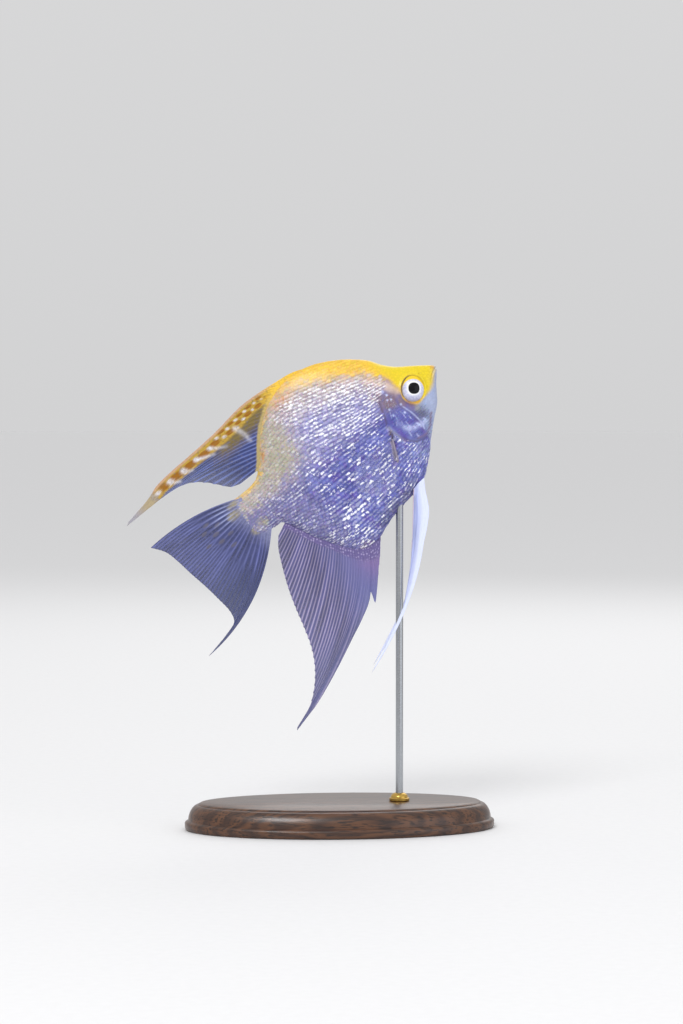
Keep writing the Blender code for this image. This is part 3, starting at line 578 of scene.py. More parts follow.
def scale_material():
    """Pearl scales: a guanine-silvered plate with a painted highlight, a broken white dash, over its
    raised middle, and painted shade in the seams between scales.
    """
    material, tree, shader = new_material("pearl_scale")
    colour, place, _ = marked_colour(tree)
    plan = add(tree, "SeparateXYZ", {0: add(tree, "UVMap", uv_map="ScaleMap")})
    along, across = plan.outputs[0], plan.outputs[1]
    shift, glint_strength, tone, seam_shade_share, small = (
        add(tree, "Attribute", attribute_name=name).outputs["Fac"]
        for name in ("shift", "painted_sparkle", "tone", "seam_shade", "small"))
    grain, torn, crumple = (
        add(tree, "TexNoise", {"Vector": place, "Scale": 1 / (size * MM), "Detail": 2.0})
        for size in (0.5, 0.9, 0.45))

    # The painted highlight: a torn white oval round the raised middle, and specks of the grain
    centre = add(tree, "Math", {0: shift, 1: 0.08, 2: 0.5}, operation="MULTIPLY_ADD")
    aside = add(tree, "Math", {0: across, 1: centre}, operation="SUBTRACT")
    behind = add(tree, "Math", {0: along, 1: -DASH_MIDDLE}, operation="ADD")
    far, close = (
        add(tree, "Math", {0: add(tree, "Math", {0: off, 1: 1 / half}, operation="MULTIPLY"), 1: 2.0},
            operation="POWER")
        for off, half in ((behind, DASH_HALF_LENGTH), (aside, DASH_HALF_WIDTH)))
    off = add(tree, "Math", {0: far, 1: close}, operation="ADD")
    off = add(tree, "Math", {0: off, 1: small}, operation="MULTIPLY")
    wave = add(tree, "Math", {0: torn, 1: 4.0, 2: off}, operation="MULTIPLY_ADD")
    dash = add(tree, "MapRange", {"Value": wave, "From Min": 3.1, "From Max": 1.8},
               interpolation_type="SMOOTHSTEP")
    speck = add(tree, "MapRange", {"Value": grain, "From Min": 0.6, "From Max": 0.68, "To Max": 0.75})
    dash = add(tree, "Math", {0: dash, 1: speck}, operation="MAXIMUM")
    painted_highlight = add(tree, "Math", {0: dash, 1: glint_strength}, operation="MULTIPLY", use_clamp=True)

    # The rim: painted shade, dark in the seams between neighbours in a row and fainter at the free edge
    side = add(tree, "Math", {0: aside}, operation="ABSOLUTE")
    seam_shade = add(tree, "MapRange", {"Value": side, "From Min": 0.2, "From Max": 0.42, "To Max": 0.5},
               interpolation_type="SMOOTHSTEP")
    end = add(tree, "MapRange", {"Value": along, "From Min": 0.9, "From Max": 1.0, "To Max": 0.3},
              interpolation_type="SMOOTHSTEP")
    rim = add(tree, "Math", {0: seam_shade, 1: end}, operation="MAXIMUM")
    rim = add(tree, "Math", {0: rim, 1: seam_shade_share}, operation="MULTIPLY")

    level_tone = add(tree, "MapRange", {"Value": tone, "To Min": 0.8, "To Max": 1.15})
    toned = add(tree, "VectorMath", {0: colour, "Scale": level_tone}, operation="SCALE")
    toned = add(tree, "Mix", {0: 0.45, 6: toned, 7: grain.outputs["Color"]}, data_type="RGBA",
                blend_type="OVERLAY")
    shaded = add(tree, "Mix", {0: 1.0, 6: toned, 7: linear("#9088BC")}, data_type="RGBA",
               blend_type="MULTIPLY")
    edged = add(tree, "Mix", {0: rim, 6: toned, 7: shaded}, data_type="RGBA")
    # painted highlight: a near-white dash mixed over the colour
    lit = add(tree, "Mix", {0: painted_highlight, 6: edged, 7: linear("#F8F9FF")}, data_type="RGBA")
    gloss = add(tree, "MapRange", {"Value": painted_highlight, "To Min": 0.45, "To Max": 0.22})
    crumpled = add(tree, "Bump", {"Height": crumple, "Strength": 0.5, "Distance": 0.12 * MM})
    feed(tree, shader, {"Base Color": lit, "Roughness": gloss, "Normal": crumpled, "IOR": 1.45,
                        "Specular IOR Level": 0.4, "Coat Weight": 0.15, "Coat Roughness": 0.12})
    return material


def eye_material():
    """Eye under a clear, glossy cornea: silver iris, gold above and in front, black pupil."""
    material, tree, shader = new_material("eye_cornea_gloss")
    spot = add(tree, "UVMap", uv_map="EyeMap")
    centred = add(tree, "Mapping", {"Vector": spot, "Location": (-0.5, -0.5, 0.0)})
    moved = add(tree, "Mapping", {"Vector": centred, "Location": (-PUPIL_FORWARD / EYE_MAP,
                                                                  -PUPIL_UP / EYE_MAP, 0.0)})
    parts = add(tree, "SeparateXYZ", {0: moved})
    sides = []
    for part in (0, 1):
        size = add(tree, "Math", {0: parts.outputs[part]}, operation="ABSOLUTE")
        sides.append(add(tree, "Math", {0: size, 1: PUPIL_SQUARENESS}, operation="POWER"))
    both = add(tree, "Math", {0: sides[0], 1: sides[1]}, operation="ADD")
    squarish = add(tree, "Math", {0: both, 1: 1 / PUPIL_SQUARENESS}, operation="POWER")
    place = add(tree, "SeparateXYZ", {0: centred})
    lowered = add(tree, "Mapping", {"Vector": centred, "Location": (0.01, 0.05, 0.0)})
    from_low = add(tree, "VectorMath", {0: lowered}, operation="LENGTH")
    fibre = add(tree, "TexNoise", {"Vector": spot, "Scale": 16.0, "Detail": 3.0})
    colour = add(tree, "Mix", {0: fibre, 6: linear("#9298CC"), 7: linear("#F4F4FC")}, data_type="RGBA")
    pupil = PUPIL_RADIUS / EYE_MAP
    below = add(tree, "MapRange", {"Value": place.outputs[1], "From Min": -0.2, "From Max": -0.38,
                                   "To Max": 0.6})
    golden = add(tree, "MapRange", {"Value": from_low, "From Min": 0.355, "From Max": 0.4},
                 interpolation_type="SMOOTHSTEP")
    ring = add(tree, "MapRange", {"Value": squarish, "From Min": pupil * 1.45, "From Max": pupil * 1.12})
    hole = add(tree, "MapRange", {"Value": squarish, "From Min": pupil * 1.05, "From Max": pupil * 0.97})
    for cover, shade in ((below, "#8C88AC"), (golden, "#EFCB32"), (ring, "#F6F6FA"), (hole, "#03030A")):
        colour = add(tree, "Mix", {0: cover, 6: colour, 7: linear(shade)}, data_type="RGBA")
    feed(tree, shader, {"Base Color": colour, "Roughness": 0.3, "IOR": 1.38, "Specular IOR Level": 0.12,
                        "Coat Weight": 0.3, "Coat Roughness": 0.03})
    return material


def fin_material(name, web, ray, root, web_cover, ray_cover, root_reach, thinning=0.0, layers=(),
                 scaly=()):
    """Fin membrane, thin and clear, between paler bony rays; near its root it is thick flesh.

    Each layer over it is an attribute, a shade, how much it hides what is behind the fin, and how
    ragged its edge is. Thinning clears the web towards its free edge. Scaly is an attribute and the
    shades between and on the tiny scales that climb a fin's base.
    """
    material, tree, shader = new_material(name)
    place = add(tree, "TexCoord").outputs["Object"]
    spot = add(tree, "UVMap", uv_map="FinMap")
    drawn = add(tree, "Mapping", {"Vector": spot, "Scale": (0.55, 0.04, 1.0)})
    mottle = add(tree, "TexNoise", {"Vector": drawn, "Scale": 1.0, "Detail": 3.0})
    fray = add(tree, "TexNoise", {"Vector": place, "Scale": 1 / (0.9 * MM), "Detail": 3.0})
    loose = add(tree, "Math", {0: fray, 1: -0.5}, operation="ADD")
    ridge, from_root, outward = (add(tree, "Attribute", attribute_name=attribute).outputs["Fac"]
                                 for attribute in ("ray", "from_root", "outward"))

    def worn(attribute, ragged):
        """An attribute with its edge frayed."""
        whole = add(tree, "Attribute", attribute_name=attribute).outputs["Fac"]
        share = add(tree, "Math", {0: loose, 1: ragged, 2: 1.0}, operation="MULTIPLY_ADD")
        return add(tree, "Math", {0: whole, 1: share}, operation="MULTIPLY", use_clamp=True)

    tint = add(tree, "MapRange", {"Value": mottle, "From Min": 0.36, "From Max": 0.64, "To Min": 0.7,
                                  "To Max": 1.25})
    colour = add(tree, "Mix", {0: ridge, 6: linear(web), 7: linear(ray)}, data_type="RGBA")
    colour = add(tree, "VectorMath", {0: colour, "Scale": tint}, operation="SCALE")
    cover = add(tree, "MapRange", {"Value": ridge, "To Min": web_cover, "To Max": ray_cover})
    clearing = add(tree, "MapRange", {"Value": outward, "From Min": 0.3, "From Max": 1.0, "To Min": 1.0,
                                      "To Max": 1.0 - thinning})
    cover = add(tree, "Math", {0: cover, 1: clearing}, operation="MULTIPLY")
    near = add(tree, "MapRange", {"Value": from_root, "From Min": root_reach, "From Max": 0.0})
    near = add(tree, "Math", {0: loose, 1: 1.4, 2: near}, operation="MULTIPLY_ADD")
    near = add(tree, "Math", {0: near, 1: 0.0}, operation="MAXIMUM")
    fleshy = add(tree, "MapRange", {"Value": near}, interpolation_type="SMOOTHSTEP")
    colour = add(tree, "Mix", {0: fleshy, 6: colour, 7: linear(root)}, data_type="RGBA")
    cover = add(tree, "Math", {0: cover, 1: fleshy}, operation="MAXIMUM")
    for attribute, shade, hides, ragged in layers:
        mask = worn(attribute, ragged)
        colour = add(tree, "Mix", {0: mask, 6: colour, 7: linear(shade)}, data_type="RGBA")
        hidden = add(tree, "Math", {0: mask, 1: hides}, operation="MULTIPLY")
        cover = add(tree, "Math", {0: cover, 1: hidden}, operation="MAXIMUM")
    if scaly:
        attribute, between, on = scaly
        cells = add(tree, "TexVoronoi", {"Vector": spot, "Scale": 1.0, "Randomness": 0.45})
        plate = add(tree, "MapRange", {"Value": cells, "From Min": 0.5, "From Max": 0.2},
                    interpolation_type="SMOOTHSTEP")
        dotted = add(tree, "Mix", {0: plate, 6: linear(between), 7: linear(on)}, data_type="RGBA")
        mask = worn(attribute, 2.0)
        colour = add(tree, "Mix", {0: mask, 6: colour, 7: dotted}, data_type="RGBA")
        cover = add(tree, "Math", {0: cover, 1: mask}, operation="MAXIMUM")
    relief = add(tree, "Bump", {"Height": fray, "Strength": 0.25, "Distance": 0.08 * MM})
    feed(tree, shader, {"Base Color": colour, "Alpha": cover, "Normal": relief, "Roughness": 0.45,
                        "IOR": 1.4, "Specular IOR Level": 0.35, "Coat Weight": 0.08,
                        "Coat Roughness": 0.2})
    return material


# Fins: shades of the web, the rays and the fleshy root, how much web and rays hide, how far the
# flesh reaches, how far the web clears outwards, then layers and tiny scales
FIN_LOOKS = {
    # milk white and opaque, bluish along the stout first ray and rosy behind
    "pelvic_fin_white": (
        "#A5AEE0", "#B7C0EA", "#B4BBE6", 1.0, 1.0, 1.0, 0.0,
        (("leading", "#DDE4FF", 1.0, 0.2), ("trailing", "#CDB8C8", 1.0, 0.2))),
    # dark blue glass behind a golden band with brown blocks, white spots and a rusty outer edge
    "back_fin_barred": (
        "#2E3A78", "#7080C0", "#AC9C7C", 0.84, 0.9, 0.55, 0.35,
        (("dusk", "#7C6A38", 0.85, 1.6), ("band", "#B8963A", 1.0, 1.5), ("near_root", "#B3A06C", 0.9, 1.6),
         ("block", "#98620F", 1.0, 1.9), ("white", "#DCDCE8", 0.95, 1.6), ("outer", "#C49E7C", 1.0, 0.8),
         ("gilt", "#F0C540", 1.0, 1.4), ("tip", "#B5A482", 0.9, 0.5), ("thread", "#A7A4AE", 0.7, 0.4))),
    # slate blue between grey rays, pearly at the root, with faint dark spots and a painted highlight on
    # the upper rays near the root
    "tail_fin_clear": (
        "#353D72", "#6A70AA", "#8082B2", 0.8, 0.88, 1.4, 0.15,
        (("root_tint", "#8F92B8", 0.9, 1.6), ("patch", "#B5A972", 0.7, 2.4),
         ("spot", "#5F5C72", 0.5, 2.0), ("deep", "#363F6E", 0.8, 1.0), ("glint", "#AEB7E4", 0.9, 1.0))),
    # violet haze between mauve rays, with rows of tiny scales climbing its base
    "anal_fin_clear": (
        "#4B4B82", "#ABA0C2", "#6C69A8", 0.8, 0.9, 0.7, 0.12,
        (("dense", "#6C70AA", 0.8, 0.5), ("fringe", "#8A74AC", 0.8, 1.0), ("deep", "#5C6292", 0.8, 0.8)),
        ("flecks", "#6A5F94", "#A79CC6")),
    # nearly invisible film on hair-thin rays
    "pectoral_fin_glassy": ("#A7A9CC", "#D5D8EC", "#A79DAE", 0.02, 0.16, 0.3),
}


def walnut_material():
    """Oiled walnut, turned and sanded: long dark grain along the base, open pores, satin sheen."""
    material, tree, shader = new_material("walnut_oiled")
    place = add(tree, "TexCoord").outputs["Object"]
    drawn = add(tree, "Mapping", {"Vector": place, "Scale": (0.12, 1.0, 1.0)})
    wander = add(tree, "TexNoise", {"Vector": drawn, "Scale": 1 / (14 * MM), "Detail": 3.0})
    bent = add(tree, "Mix", {0: 0.02, 4: drawn, 5: wander.outputs["Color"]}, data_type="VECTOR")
    rings = add(tree, "TexWave", {"Vector": bent, "Scale": 1 / (11 * MM), "Distortion": 5.0,
                                  "Detail": 3.0, "Detail Scale": 1.5}, bands_direction="Y")
    fibres = add(tree, "TexNoise", {"Vector": drawn, "Scale": 1 / (0.6 * MM), "Detail": 4.0})
    wood = add(tree, "Mix", {0: rings.outputs["Fac"], 6: linear("#3A2114"), 7: linear("#5D3A22")},
               data_type="RGBA")
    pores = add(tree, "MapRange", {"Value": fibres, "From Min": 0.36, "From Max": 0.5})
    colour = add(tree, "Mix", {0: pores, 6: linear("#241209"), 7: wood}, data_type="RGBA")
    grain = add(tree, "Bump", {"Height": pores, "Strength": 0.3, "Distance": 0.05 * MM})
    feed(tree, shader, {"Base Color": colour, "Normal": grain, "Roughness": 0.33, "Coat Weight": 0.25,
                        "Coat Roughness": 0.2})
    return material


def metal_material(name, one, other, roughness):
    """Turned and polished metal: fine lathe lines and a faint uneven haze."""
    material, tree, shader = new_material(name)
    place = add(tree, "TexCoord").outputs["Object"]
    squeezed = add(tree, "Mapping", {"Vector": place, "Scale": (1.0, 1.0, 8.0)})
    lines = add(tree, "TexNoise", {"Vector": squeezed, "Scale": 1 / (1.5 * MM), "Detail": 3.0})
    tone = add(tree, "Mix", {0: lines, 6: linear(one), 7: linear(other)}, data_type="RGBA")
    haze = add(tree, "MapRange", {"Value": lines, "To Min": roughness * 0.75, "To Max": roughness * 1.3})
    turned = add(tree, "Bump", {"Height": lines, "Strength": 0.08, "Distance": 0.05 * MM})
    feed(tree, shader, {"Base Color": tone, "Roughness": haze, "Normal": turned, "Metallic": 1.0})
    return material


def floor_material():
    """Matt pale card."""
    material, tree, shader = new_material("pale_card")
    place = add(tree, "TexCoord").outputs["Object"]
    tooth = add(tree, "TexNoise", {"Vector": place, "Scale": 1 / (3 * MM), "Detail": 2.0})
    tone = add(tree, "Mix", {0: tooth, 6: linear("#E3E3E4"), 7: linear("#E8E8E9")}, data_type="RGBA")
    feed(tree, shader, {"Base Color": tone, "Roughness": 0.8})
    return material


# ---------------------------------------------------------------- body

def section(distance, inset):
    """Half sections from the belly up to the back: y and z, one row for each distance."""
    turn = np.linspace(-math.pi / 2, math.pi / 2, 181)
    top, bottom = back(distance) - inset, belly(distance) + inset
    out = np.maximum(breadth(distance) - inset, 0.08)
    y = out[:, None] * np.abs(np.cos(turn))[None, :] ** keel(distance)[:, None]
    z = ((top + bottom) / 2)[:, None] + ((top - bottom) / 2)[:, None] * np.sin(turn)[None, :]
    return y, z


def lengths(y, z):
    """Running length along each half section."""
    pieces = np.hypot(np.diff(y, axis=1), np.diff(z, axis=1))
    return np.hstack([np.zeros((len(y), 1)), np.cumsum(pieces, axis=1)])


def upright(d, z):
    """Places of the level fish as they lie, forward and up, once it is tilted."""
    return -d * UP_COS - z * UP_SIN, -d * UP_SIN + z * UP_COS


def eye_reach(d, z):
    """Distance from the eye's middle, in shares of the opening's tall, narrow outline."""
    forward, up = upright(d - EYE_BACK, z - EYE_HEIGHT)
    return np.hypot(forward / ORBIT_WIDE, up / ORBIT_TALL)


def off_eye(d, z):
    """About how far, in mm, a place lies outside the eye's opening."""
    return (eye_reach(d, z) - 1) * 4.0


def relief(d, z):
    """Height of the head's and the shoulder's forms over the plain body, in mm."""
    rise = np.zeros(d.shape)
    for line, starts, ends, height, soft, run_out, lip, groove, groove_width in PLATE_EDGES:
        off, share = beside(d, z, line)
        inside = -off
        fade = step(0.0, starts, share) * (1 - step(ends, 1.0, share))
        rise += fade * (height * step(-soft, soft, inside) * np.exp(-np.maximum(inside, 0) / run_out)
                        + lip * bump(inside, 0.35) - groove * bump(inside + 0.6, groove_width))
    for line, height, width in LINE_FORMS:
        rise += height * bump(beside(d, z, line)[0], width)
    mouth, share = beside(d, z, GAPE)
    closing = 1 - step(0.6, 1.0, share) * 0.8
    rise += closing * (-0.26 * bump(mouth, 0.22) + 0.12 * bump(np.abs(mouth) - 0.55, 0.35))
    nostril = np.hypot(d - NOSTRIL[0], z - NOSTRIL[1])
    rise += -0.28 * bump(nostril, NOSTRIL_RADIUS) + 0.08 * bump(nostril - 2 * NOSTRIL_RADIUS, 0.2)
    from_rim = off_eye(d, z)
    rise += 0.34 * bump(from_rim - ORBIT_RIM, 0.55)
    rise -= ORBIT_DEPTH * (1 - step(-1.2, 0.1, from_rim))
    return rise


def gill_streaks(d, z):
    """Fine painted highlight streaks that fan out down the gill cover from its hinge."""
    back_way, down = d - GILL_HINGE[0], GILL_HINGE[1] - z
    turn = np.arctan2(back_way, down)
    reach = np.hypot(back_way, down)
    streak = np.sin(turn * 40 + 1.2 * np.sin(reach * 0.9)) + 0.8 * np.sin(turn * 67 + reach * 0.5 + 2)
    broken = np.sin(reach * 1.5 + 3 * np.sin(turn * 9)) + 0.8
    return step(0.2, 1.5, streak) * step(-0.3, 1.2, broken)


def spots(d, z, places, power=2.0, edge=(0.55, 1.5)):
    """Full strength inside any of a list of ovals: d, z, half length and half height."""
    found = np.zeros(d.shape)
    for at_d, at_z, half_long, half_tall in places:
        off = np.abs((d - at_d) / half_long) ** power + np.abs((z - at_z) / half_tall) ** power
        found = np.maximum(found, 1 - step(*edge, off))
    return found


def soft_patches(d, z, marking):
    """Strength of a marking's soft patches at each place."""
    return strongest(*(
        strength * bump(np.hypot((d - at_d) * squeeze_d, (z - at_z) * squeeze_z), width)
        for strength, at_d, at_z, squeeze_d, squeeze_z, width in SOFT_PATCHES[marking]))


def markings(d, z):
    """Strength, 0 for none and 1 for full, of each marking at places of the body; gleam is painted
    highlight and groove painted shade.
    """
    from_gold, from_nape, from_shoulder, from_mouth = (
        beside(d, z, line)[0] for line in (GOLD_LINE, NAPE_PALE, SHOULDER_GLEAM, GAPE))
    gill, gill_share = beside(d, z, GILL_EDGE)
    cheek, cheek_share = beside(d, z, CHEEK_EDGE)
    gleam_line, gleam_share = beside(d, z, GILL_GLEAM)
    root, root_share = beside(d, z, PECTORAL_ROOT)
    slit, slit_share = beside(d, z, PECTORAL_SLIT)
    from_nostril = np.hypot(d - NOSTRIL[0], z - NOSTRIL[1])
    from_eye = off_eye(d, z)
    forward, up = upright(d - EYE_BACK, z - EYE_HEIGHT)

    # Gold of the back and the head, with a ring round the eye that fades below it
    soft = gold_softness(d)
    under_eye = step(-1.0, -3.4, up) * step(-3.8, -1.5, forward)
    gold = strongest(step(-soft, soft, from_gold) * gold_strength(d),
                     bump(from_eye - 0.15, 0.42) * (1 - 0.6 * under_eye))
    below_gold = 1 - step(-0.5, 1.5, from_gold)

    # Pale edges of the gold: cream along the flank, rose on the nape, and the upper lip
    cream = step(-cream_depth(d) - 6, 0.0, from_gold) * step(13.5, 19, d) * 1.1
    cream *= strongest(step(-1.2, 0.8, gill), step(5, 8, z))
    nape = strongest(bump(from_nape, 1.8) * below_gold * step(0.0, 2.6, z), soft_patches(d, z, "nape"))
    lip = 0.85 * bump(np.hypot(d - 0.9, z - 0.9), 1.9) * (1 - step(-0.2, 0.9, from_gold))

    # Olive and orange of the rear back, and rust round the eye, on the lip and under the back fin
    rear_back = step(47, 57, d) * (1 - step(70, 76, d))
    olive = strongest(0.8 * rear_back * step(0, 10, z), soft_patches(d, z, "olive"),
                      0.6 * spots(d, z, OLIVE_PATCHES, 2.0, (0.0, 2.0)))
    along, across = upright(d - 62.4, z - 14.8)
    orange = strongest(0.6 * bump(np.hypot(along, across / 4.5), 1.0), soft_patches(d, z, "orange"),
                       0.3 * rear_back * bump(z - back(d), 0.8),
                       0.6 * bump(from_eye - 0.1, 0.3) * step(0.5, -2.0, up + 0.6 * forward))

    # Silver of the face, smoky shade of the throat and of the belly's edge, mauve of the gill
    silver = strongest((1 - step(9.5, 13.5, d + 0.3 * z)) * 1.1, soft_patches(d, z, "silver"))
    smoke = strongest(soft_patches(d, z, "smoke"),
                      0.6 * bump(z - belly(d) - 2.0, 3.0) * step(25, 31, d) * step(52, 46, d))
    blush = strongest(soft_patches(d, z, "blush"), 0.45 * bump(root + 0.9, 0.45),
                      0.6 * bump(gill + 0.6, 0.55) * step(0.6, 0.72, gill_share))

    # Painted highlights: silver gleams of the gill cover and the shoulder, and glints of a few scales
    streaks = gill_streaks(d, z)
    cover = step(0.3, 1.6, -gill) * step(0.2, 1.4, cheek)
    fading = 0.45 + 0.55 * step(0.05, 0.4, gleam_share)
    gleam = strongest(bump(gleam_line + 0.5, 1.25) * (0.56 + 0.4 * streaks) * fading,
                      0.55 * bump(from_shoulder, 0.75), cover * 0.48 * streaks,
                      0.6 * bump(cheek - 0.1, 0.3) * step(0.1, 0.3, cheek_share),
                      soft_patches(d, z, "gleam"))

    # Painted shade in the creases: dark lines at the edges of gill cover and cheek, in the pectoral slit,
    # mouth and nostril, and round the eye
    behind_eye = step(0.6, -2.2, forward) * step(-3.6, -1.8, up)
    below_eye = step(-2.5, -3.8, up) * step(2.2, 0.0, forward)
    groove = strongest(
        0.52 * bump(gill - 0.6, 0.55) * step(0.0, 0.1, gill_share) * (1 - step(0.7, 0.95, gill_share)),
        0.3 * bump(cheek - 0.7, 0.4) * step(0, 0.1, cheek_share),
        0.85 * bump(slit, 0.45) * (1 - 0.75 * step(0.2, 0.6, slit_share)),
        0.25 * bump(from_mouth, 0.25), 0.35 * bump(from_nostril, 0.35),
        0.75 * behind_eye * bump(from_eye - 0.05, 0.34),
        0.35 * step(0.5, 2.5, up) * bump(from_eye - 0.1, 0.25),
        0.48 * bump(from_eye - 0.5, 0.45) * below_eye)
    fold = 0.95 * bump(root, 0.6) * step(0.0, 0.08, root_share) * (1 - 0.35 * root_share)
    return {"pale": step(-6, 9, z) * step(18, 24, d), "rear": step(48, 68, d), "olive": olive,
            "silver": silver, "smoke": smoke, "cream": cream, "nape": nape, "fold": fold,
            "blush": blush, "lip": lip, "gold": gold, "lemon": gold * (1 - step(9, 20, d)),
            "orange": orange, "gleam": gleam, "groove": groove}


def make_skin(material):
    """One skin over the whole body, drawn out ring by ring from a ball whose pole is the snout."""
    alone()
    bpy.ops.mesh.primitive_uv_sphere_add(segments=SKIN_AROUND, ring_count=SKIN_ALONG, radius=1.0)
    skin = named("fish_skin")
    x, y, z = points_of(skin).T
    ring = np.rint(np.arccos(np.clip(z, -1, 1)) / math.pi * SKIN_ALONG).astype(int)
    turn = (np.arctan2(y, x) / (2 * math.pi)) % 1.0
    girth = 1 - np.abs(1 - 2 * turn)
    side = np.where(turn < 0.5, 1.0, -1.0)

    number = np.arange(SKIN_ALONG + 1)
    stations = curve(SKIN_STATIONS)(number / SKIN_ALONG)
    half_y, half_z = section(stations, coat_room(stations))
    run = lengths(half_y, half_z)
    run /= run[:, -1:]
    from_snout = np.clip(number / ROUND_RINGS, 0, 1) * math.pi / 2
    from_tail = np.clip((SKIN_ALONG - number) / ROUND_RINGS, 0, 1) * math.pi / 2
    opening = np.sin(from_snout) * np.sin(from_tail)
    forward = SNOUT_ROUND * np.cos(from_snout)
    middle = (half_z[:, 0] + half_z[:, -1]) / 2
    placed = np.zeros((len(x), 3))
    for r in number:
        at = ring == r
        out = np.interp(girth[at], run[r], half_y[r]) * opening[r]
        up = middle[r] + (np.interp(girth[at], run[r], half_z[r]) - middle[r]) * opening[r]
        placed[at] = np.stack([np.full(out.shape, stations[r] - forward[r]), side[at] * out, up], axis=-1)
    d, aside, height = placed.T
    put_points(skin, world(d, aside, height))
    flat = np.abs(aside) / np.maximum(breadth(d), 0.3)
    depth = relief(d, height) * step(0.02, 0.35, flat) * MM
    put_points(skin, points_of(skin) + normals_of(skin) * depth[:, None])
    put_attributes(skin, **markings(d, height))
    skin.data.shade_smooth()
    settle(skin, material, "pearl_skin", "head", "lower_jaw", "gill_cover_left", "gill_cover_right",
           "trunk", "tail_stalk")


# ---------------------------------------------------------------- scales

class Unrolled:
    """The flank rolled out flat: d along the fish, and a round its side, 0 at the snout's height."""

    def __init__(self):
        self.stations = np.linspace(*ROLL_ALONG)
        y, z = section(self.stations, coat_room(self.stations))
        run = lengths(y, z)
        self.rounds = np.linspace(*ROLL_ROUND)
        self.y, self.z, self.low, self.high = [], [], [], []
        for i in range(len(self.stations)):
            from_mid = run[i] - np.interp(0.0, z[i], run[i])
            self.y.append(np.interp(self.rounds, from_mid, y[i]))
            self.z.append(np.interp(self.rounds, from_mid, z[i]))
            self.low.append(from_mid[0])
            self.high.append(from_mid[-1])
        self.y, self.z = np.array(self.y), np.array(self.z)

    def blend(self, table, d, a):
        """A table's value at each place, from its four neighbours."""
        i = np.clip((d - self.stations[0]) / (self.stations[1] - self.stations[0]), 0,
                    len(self.stations) - 1.001)
        j = np.clip((a - self.rounds[0]) / (self.rounds[1] - self.rounds[0]), 0,
                    len(self.rounds) - 1.001)
        i0, j0 = i.astype(int), j.astype(int)
        fi, fj = i - i0, j - j0
        return (table[i0, j0] * (1 - fi) * (1 - fj) + table[i0 + 1, j0] * fi * (1 - fj)
                + table[i0, j0 + 1] * (1 - fi) * fj + table[i0 + 1, j0 + 1] * fi * fj)

    def place(self, d, a):
        """y and z at each place."""
        return self.blend(self.y, d, a), self.blend(self.z, d, a)

    def normal(self, d, a):
        """Outward direction at each place of the left flank, as (d, y, z)."""
        gap = 0.25
        y0, z0 = self.place(d - gap, a)
        y1, z1 = self.place(d + gap, a)
        y2, z2 = self.place(d, a - gap)
        y3, z3 = self.place(d, a + gap)
        back_way = np.stack([np.full(d.shape, 2 * gap), y1 - y0, z1 - z0], axis=-1)
        up_way = np.stack([np.zeros(d.shape), y3 - y2, z3 - z2], axis=-1)
        out = np.cross(up_way, back_way)
        out *= np.sign(out[:, 1:2] + 1e-9)
        return out / np.maximum(np.linalg.norm(out, axis=1, keepdims=True), 1e-9)


def row_slant(d, a):
    """How far a scale row has climbed at a place: rows slant over the shoulder and the breast."""
    shoulder = 0.3 * np.minimum(d - 48, 0) * step(-8, 14, a)
    breast = 0.42 * np.maximum(33 - d, 0) * step(-9, -25, a)
    return shoulder + breast


def row_crowding(d):
    """Rows draw together towards the tail stalk."""
    return 1 + 0.45 * step(52, 76, d)


def spaced(spacing, first, last):
    """Places from first to last whose distance apart follows a spacing rule."""
    pitch = curve(spacing)
    places = [first]
    while places[-1] < last:
        places.append(places[-1] + float(pitch(places[-1])))
    return np.array(places), pitch


def face_roots(flank):
    """The same for the smaller scales of the cheek and the gill cover."""
    d, a = np.meshgrid(np.arange(*FACE_ALONG, FACE_COLUMN), np.arange(*FACE_ROUND, FACE_ROW))
    d = d + np.where(np.arange(len(a))[:, None] % 2 == 0, 0.0, FACE_COLUMN / 2)
    d, a = d.ravel(), a.ravel()
    z = flank.place(d, a)[1]
    gill, cheek, gleam = (beside(d, z, line)[0] for line in (GILL_EDGE, CHEEK_EDGE, GILL_GLEAM))
    covered = (gill < -0.9) & (cheek > 0.8) & (np.abs(gleam) > 0.5)
    cheeked = (cheek < -0.7) & (eye_reach(d, z) > 1.5) & (z < 0.4 * (d - 12) - 4)
    low = np.interp(d, flank.stations, flank.low)
    kept = (covered | cheeked) & (a > low + 1.2) & (z < 4.0)
    plain = np.ones(kept.sum())
    return (d[kept], a[kept], 1.7 * FACE_COLUMN * plain, 1.35 * FACE_ROW * plain, 0 * plain,
            FACE_RISE * plain)


